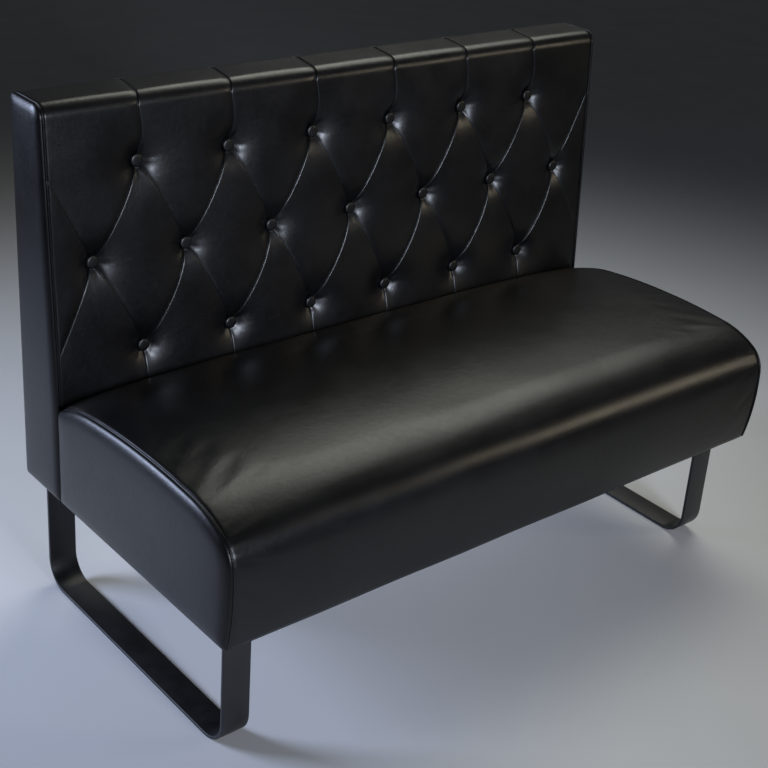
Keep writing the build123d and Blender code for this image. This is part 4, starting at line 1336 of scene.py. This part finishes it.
class BENCH_OT_underside(bpy.types.Operator):
    """Make the staples that hold the cloth under the seat, and give the inner pieces their finishes"""

    bl_idname = "bench.underside"
    bl_label = "Underside and inner pieces"

    def execute(self, context):
        low, high = place("seat_dust_cover")
        left, right = low[0] + STAPLE_INSET, high[0] - STAPLE_INSET
        front, rear = low[1] + STAPLE_INSET, FRAME_REAR_Y - STAPLE_INSET
        corners = ((left, front), (right, front), (right, rear), (left, rear))
        points = [(x, y, UNDERSIDE - STAPLE_SINK) for x, y in corners]
        edges = [(0, 1), (1, 2), (2, 3), (3, 0)]
        inputs = bodies(context.scene.bench_sizes.staple_pitch / MM, *STAPLE_SIZE, "zinc_steel")
        settle(grown("cloth_staples", points, edges, "Repeat_along_line", inputs, "zinc_steel"))
        for part in frame["record"]["subparts"]:
            node = frame["nodes"][part["node"]]
            node.data.materials.clear()
            node.data.materials.append(finish(part["material_slot"]))
        return {"FINISHED"}


# Stage


# Camera: its place in metres, its turns in radians, and its picture in pixels
CAMERA_PLACE = (-1.5602, -1.7180, 1.5438)
CAMERA_YAW = 0.7435
CAMERA_PITCH = 0.4402
CAMERA_ROLL = 0.0862
PICTURE_SIDE = 768
CAMERA_FOCUS_PX = 1460.7
CAMERA_CENTRE_PX = (427.0, 346.1)

# Floor: pale up to the first distance from the bench's middle, then darkened by painted shade that stands
# in for the light fading, fully so from the second; its side in metres
PALE_FLOOR_REACH = 800
FULL_FLOOR_SHADE_REACH = 3000
FLOOR_SIDE = 60

WORLD_STRENGTH = 0.13

# Name, place and target in metres, size in metres, power in watts, beam in degrees, and colour
LAMPS = (
    ("ceiling_softbox", (1.7, 1.1, 3.1), (0.1, -0.1, 0.45), (2.4, 1.6), 11, 84, "fafbef"),
    ("front_softbox", (-0.5, -3.4, 1.35), (0.0, 0.2, 0.65), (0.8, 0.7), 8.5, 44, "e4edff"),
    ("right_softbox", (2.6, -2.3, 1.5), (0.0, 0.2, 0.5), (1.1, 0.9), 1.4, 50, "fff0d2"),
    ("side_softbox", (-2.4, 1.95, 1.3), (-0.6, 0.0, 0.4), (1.1, 1.2), 24, 90, "cfddff"),
)


def floor_paint(look):
    """Painted concrete, rolled: matt and even, pale near the bench, and darker further away by painted
    shade that stands in for the light fading there.
    """
    material, tree, shader, mm = new_material("Painted_concrete_floor", [("Roughness", 0.6)])
    speck = add_node(tree, "ShaderNodeTexNoise", [("Scale", 1 / 160), ("Detail", 3)], [("Vector", mm)])
    vary_roughness(tree, shader, speck.outputs["Fac"], 0.55, 0.65)
    # Painted shade: with distance from the bench's middle the floor colour goes from pale to the darker
    # shade colour
    away = add_node(tree, "ShaderNodeVectorMath", links=[(0, mm)], operation="LENGTH")
    share = add_node(
        tree, "ShaderNodeMapRange", [("From Min", PALE_FLOOR_REACH), ("From Max", FULL_FLOOR_SHADE_REACH)],
        [("Value", away.outputs["Value"])], interpolation_type="SMOOTHSTEP")
    tint = add_node(
        tree, "ShaderNodeMix", [("A", linear(look.floor_colour)), ("B", linear(look.painted_floor_shade_colour))],
        [("Factor", share.outputs["Result"])], data_type="RGBA")
    tree.links.new(tint.outputs["Result"], shader.inputs["Base Color"])
    return material


class BENCH_OT_stage(bpy.types.Operator):
    """Make the floor, the lamps and the camera"""

    bl_idname = "bench.stage"
    bl_label = "Stage"

    def execute(self, context):
        scene = context.scene
        scene.view_settings.view_transform = "Standard"
        bpy.ops.mesh.primitive_plane_add(size=FLOOR_SIDE)
        floor = context.object
        floor.name = "floor"
        floor.data.materials.append(floor_paint(scene.bench_finish))

        world = bpy.data.worlds.new("Studio")
        world.use_nodes = True
        world.node_tree.nodes["Background"].inputs["Color"].default_value = linear("b4b6ba")
        world.node_tree.nodes["Background"].inputs["Strength"].default_value = WORLD_STRENGTH
        scene.world = world

        for name, position, target, size, power, beam, colour in LAMPS:
            lamp_data = bpy.data.lights.new(name, "AREA")
            lamp_data.shape = "RECTANGLE"
            lamp_data.size, lamp_data.size_y = size
            lamp_data.energy = power
            lamp_data.spread = math.radians(beam)
            lamp_data.color = linear(colour)[:3]
            lamp = bpy.data.objects.new(name, lamp_data)
            lamp.location = position
            lamp.rotation_euler = (Vector(target) - lamp.location).to_track_quat("-Z", "Y").to_euler()
            scene.collection.objects.link(lamp)

        camera_data = bpy.data.cameras.new("photo_view")
        camera_data.sensor_width = 36
        camera_data.lens = CAMERA_FOCUS_PX / PICTURE_SIDE * camera_data.sensor_width
        camera_data.shift_x = (PICTURE_SIDE / 2 - CAMERA_CENTRE_PX[0]) / PICTURE_SIDE
        camera_data.shift_y = (CAMERA_CENTRE_PX[1] - PICTURE_SIDE / 2) / PICTURE_SIDE
        camera = bpy.data.objects.new("photo_view", camera_data)
        scene.collection.objects.link(camera)
        forward = Vector((math.sin(CAMERA_YAW), math.cos(CAMERA_YAW), 0))
        ahead = forward * math.cos(CAMERA_PITCH) - Vector((0, 0, math.sin(CAMERA_PITCH)))
        level = Vector((math.cos(CAMERA_YAW), -math.sin(CAMERA_YAW), 0))
        above = level.cross(ahead)
        right = level * math.cos(CAMERA_ROLL) + above * math.sin(CAMERA_ROLL)
        up = above * math.cos(CAMERA_ROLL) - level * math.sin(CAMERA_ROLL)
        turn = Matrix((right, up, -ahead)).transposed()
        camera.matrix_world = Matrix.Translation(CAMERA_PLACE) @ turn.to_4x4()
        scene.camera = camera
        return {"FINISHED"}


class BENCH_PT_panel(bpy.types.Panel):
    """Lists the bench's sizes, finishes and makers"""

    bl_label = "Booth bench"
    bl_idname = "BENCH_PT_panel"
    bl_space_type = "VIEW_3D"
    bl_region_type = "UI"
    bl_category = "Booth bench"

    def draw(self, context):
        for group in (context.scene.bench_sizes, context.scene.bench_finish):
            box = self.layout.box()
            for name in group.__annotations__:
                box.prop(group, name)
        for maker in MAKERS:
            self.layout.operator(maker.bl_idname)


MAKERS = (BENCH_OT_tufted_back, BENCH_OT_buttons, BENCH_OT_seat, BENCH_OT_back_panels, BENCH_OT_seams,
          BENCH_OT_legs, BENCH_OT_foam, BENCH_OT_dust_cloths, BENCH_OT_underside, BENCH_OT_stage)
CLASSES = (BenchSizes, BenchFinish, *MAKERS, BENCH_PT_panel)


def register():
    for item in CLASSES:
        bpy.utils.register_class(item)
    bpy.types.Scene.bench_sizes = bpy.props.PointerProperty(type=BenchSizes)
    bpy.types.Scene.bench_finish = bpy.props.PointerProperty(type=BenchFinish)


def unregister():
    del bpy.types.Scene.bench_sizes
    del bpy.types.Scene.bench_finish
    for item in reversed(CLASSES):
        bpy.utils.unregister_class(item)


def main():
    register()
    bpy.ops.bench.tufted_back()
    bpy.ops.bench.buttons()
    bpy.ops.bench.seat()
    bpy.ops.bench.back_panels()
    bpy.ops.bench.seams()
    bpy.ops.bench.legs()
    bpy.ops.bench.foam()
    bpy.ops.bench.dust_cloths()
    bpy.ops.bench.underside()
    bpy.ops.bench.stage()


if __name__ == "__main__":
    main()
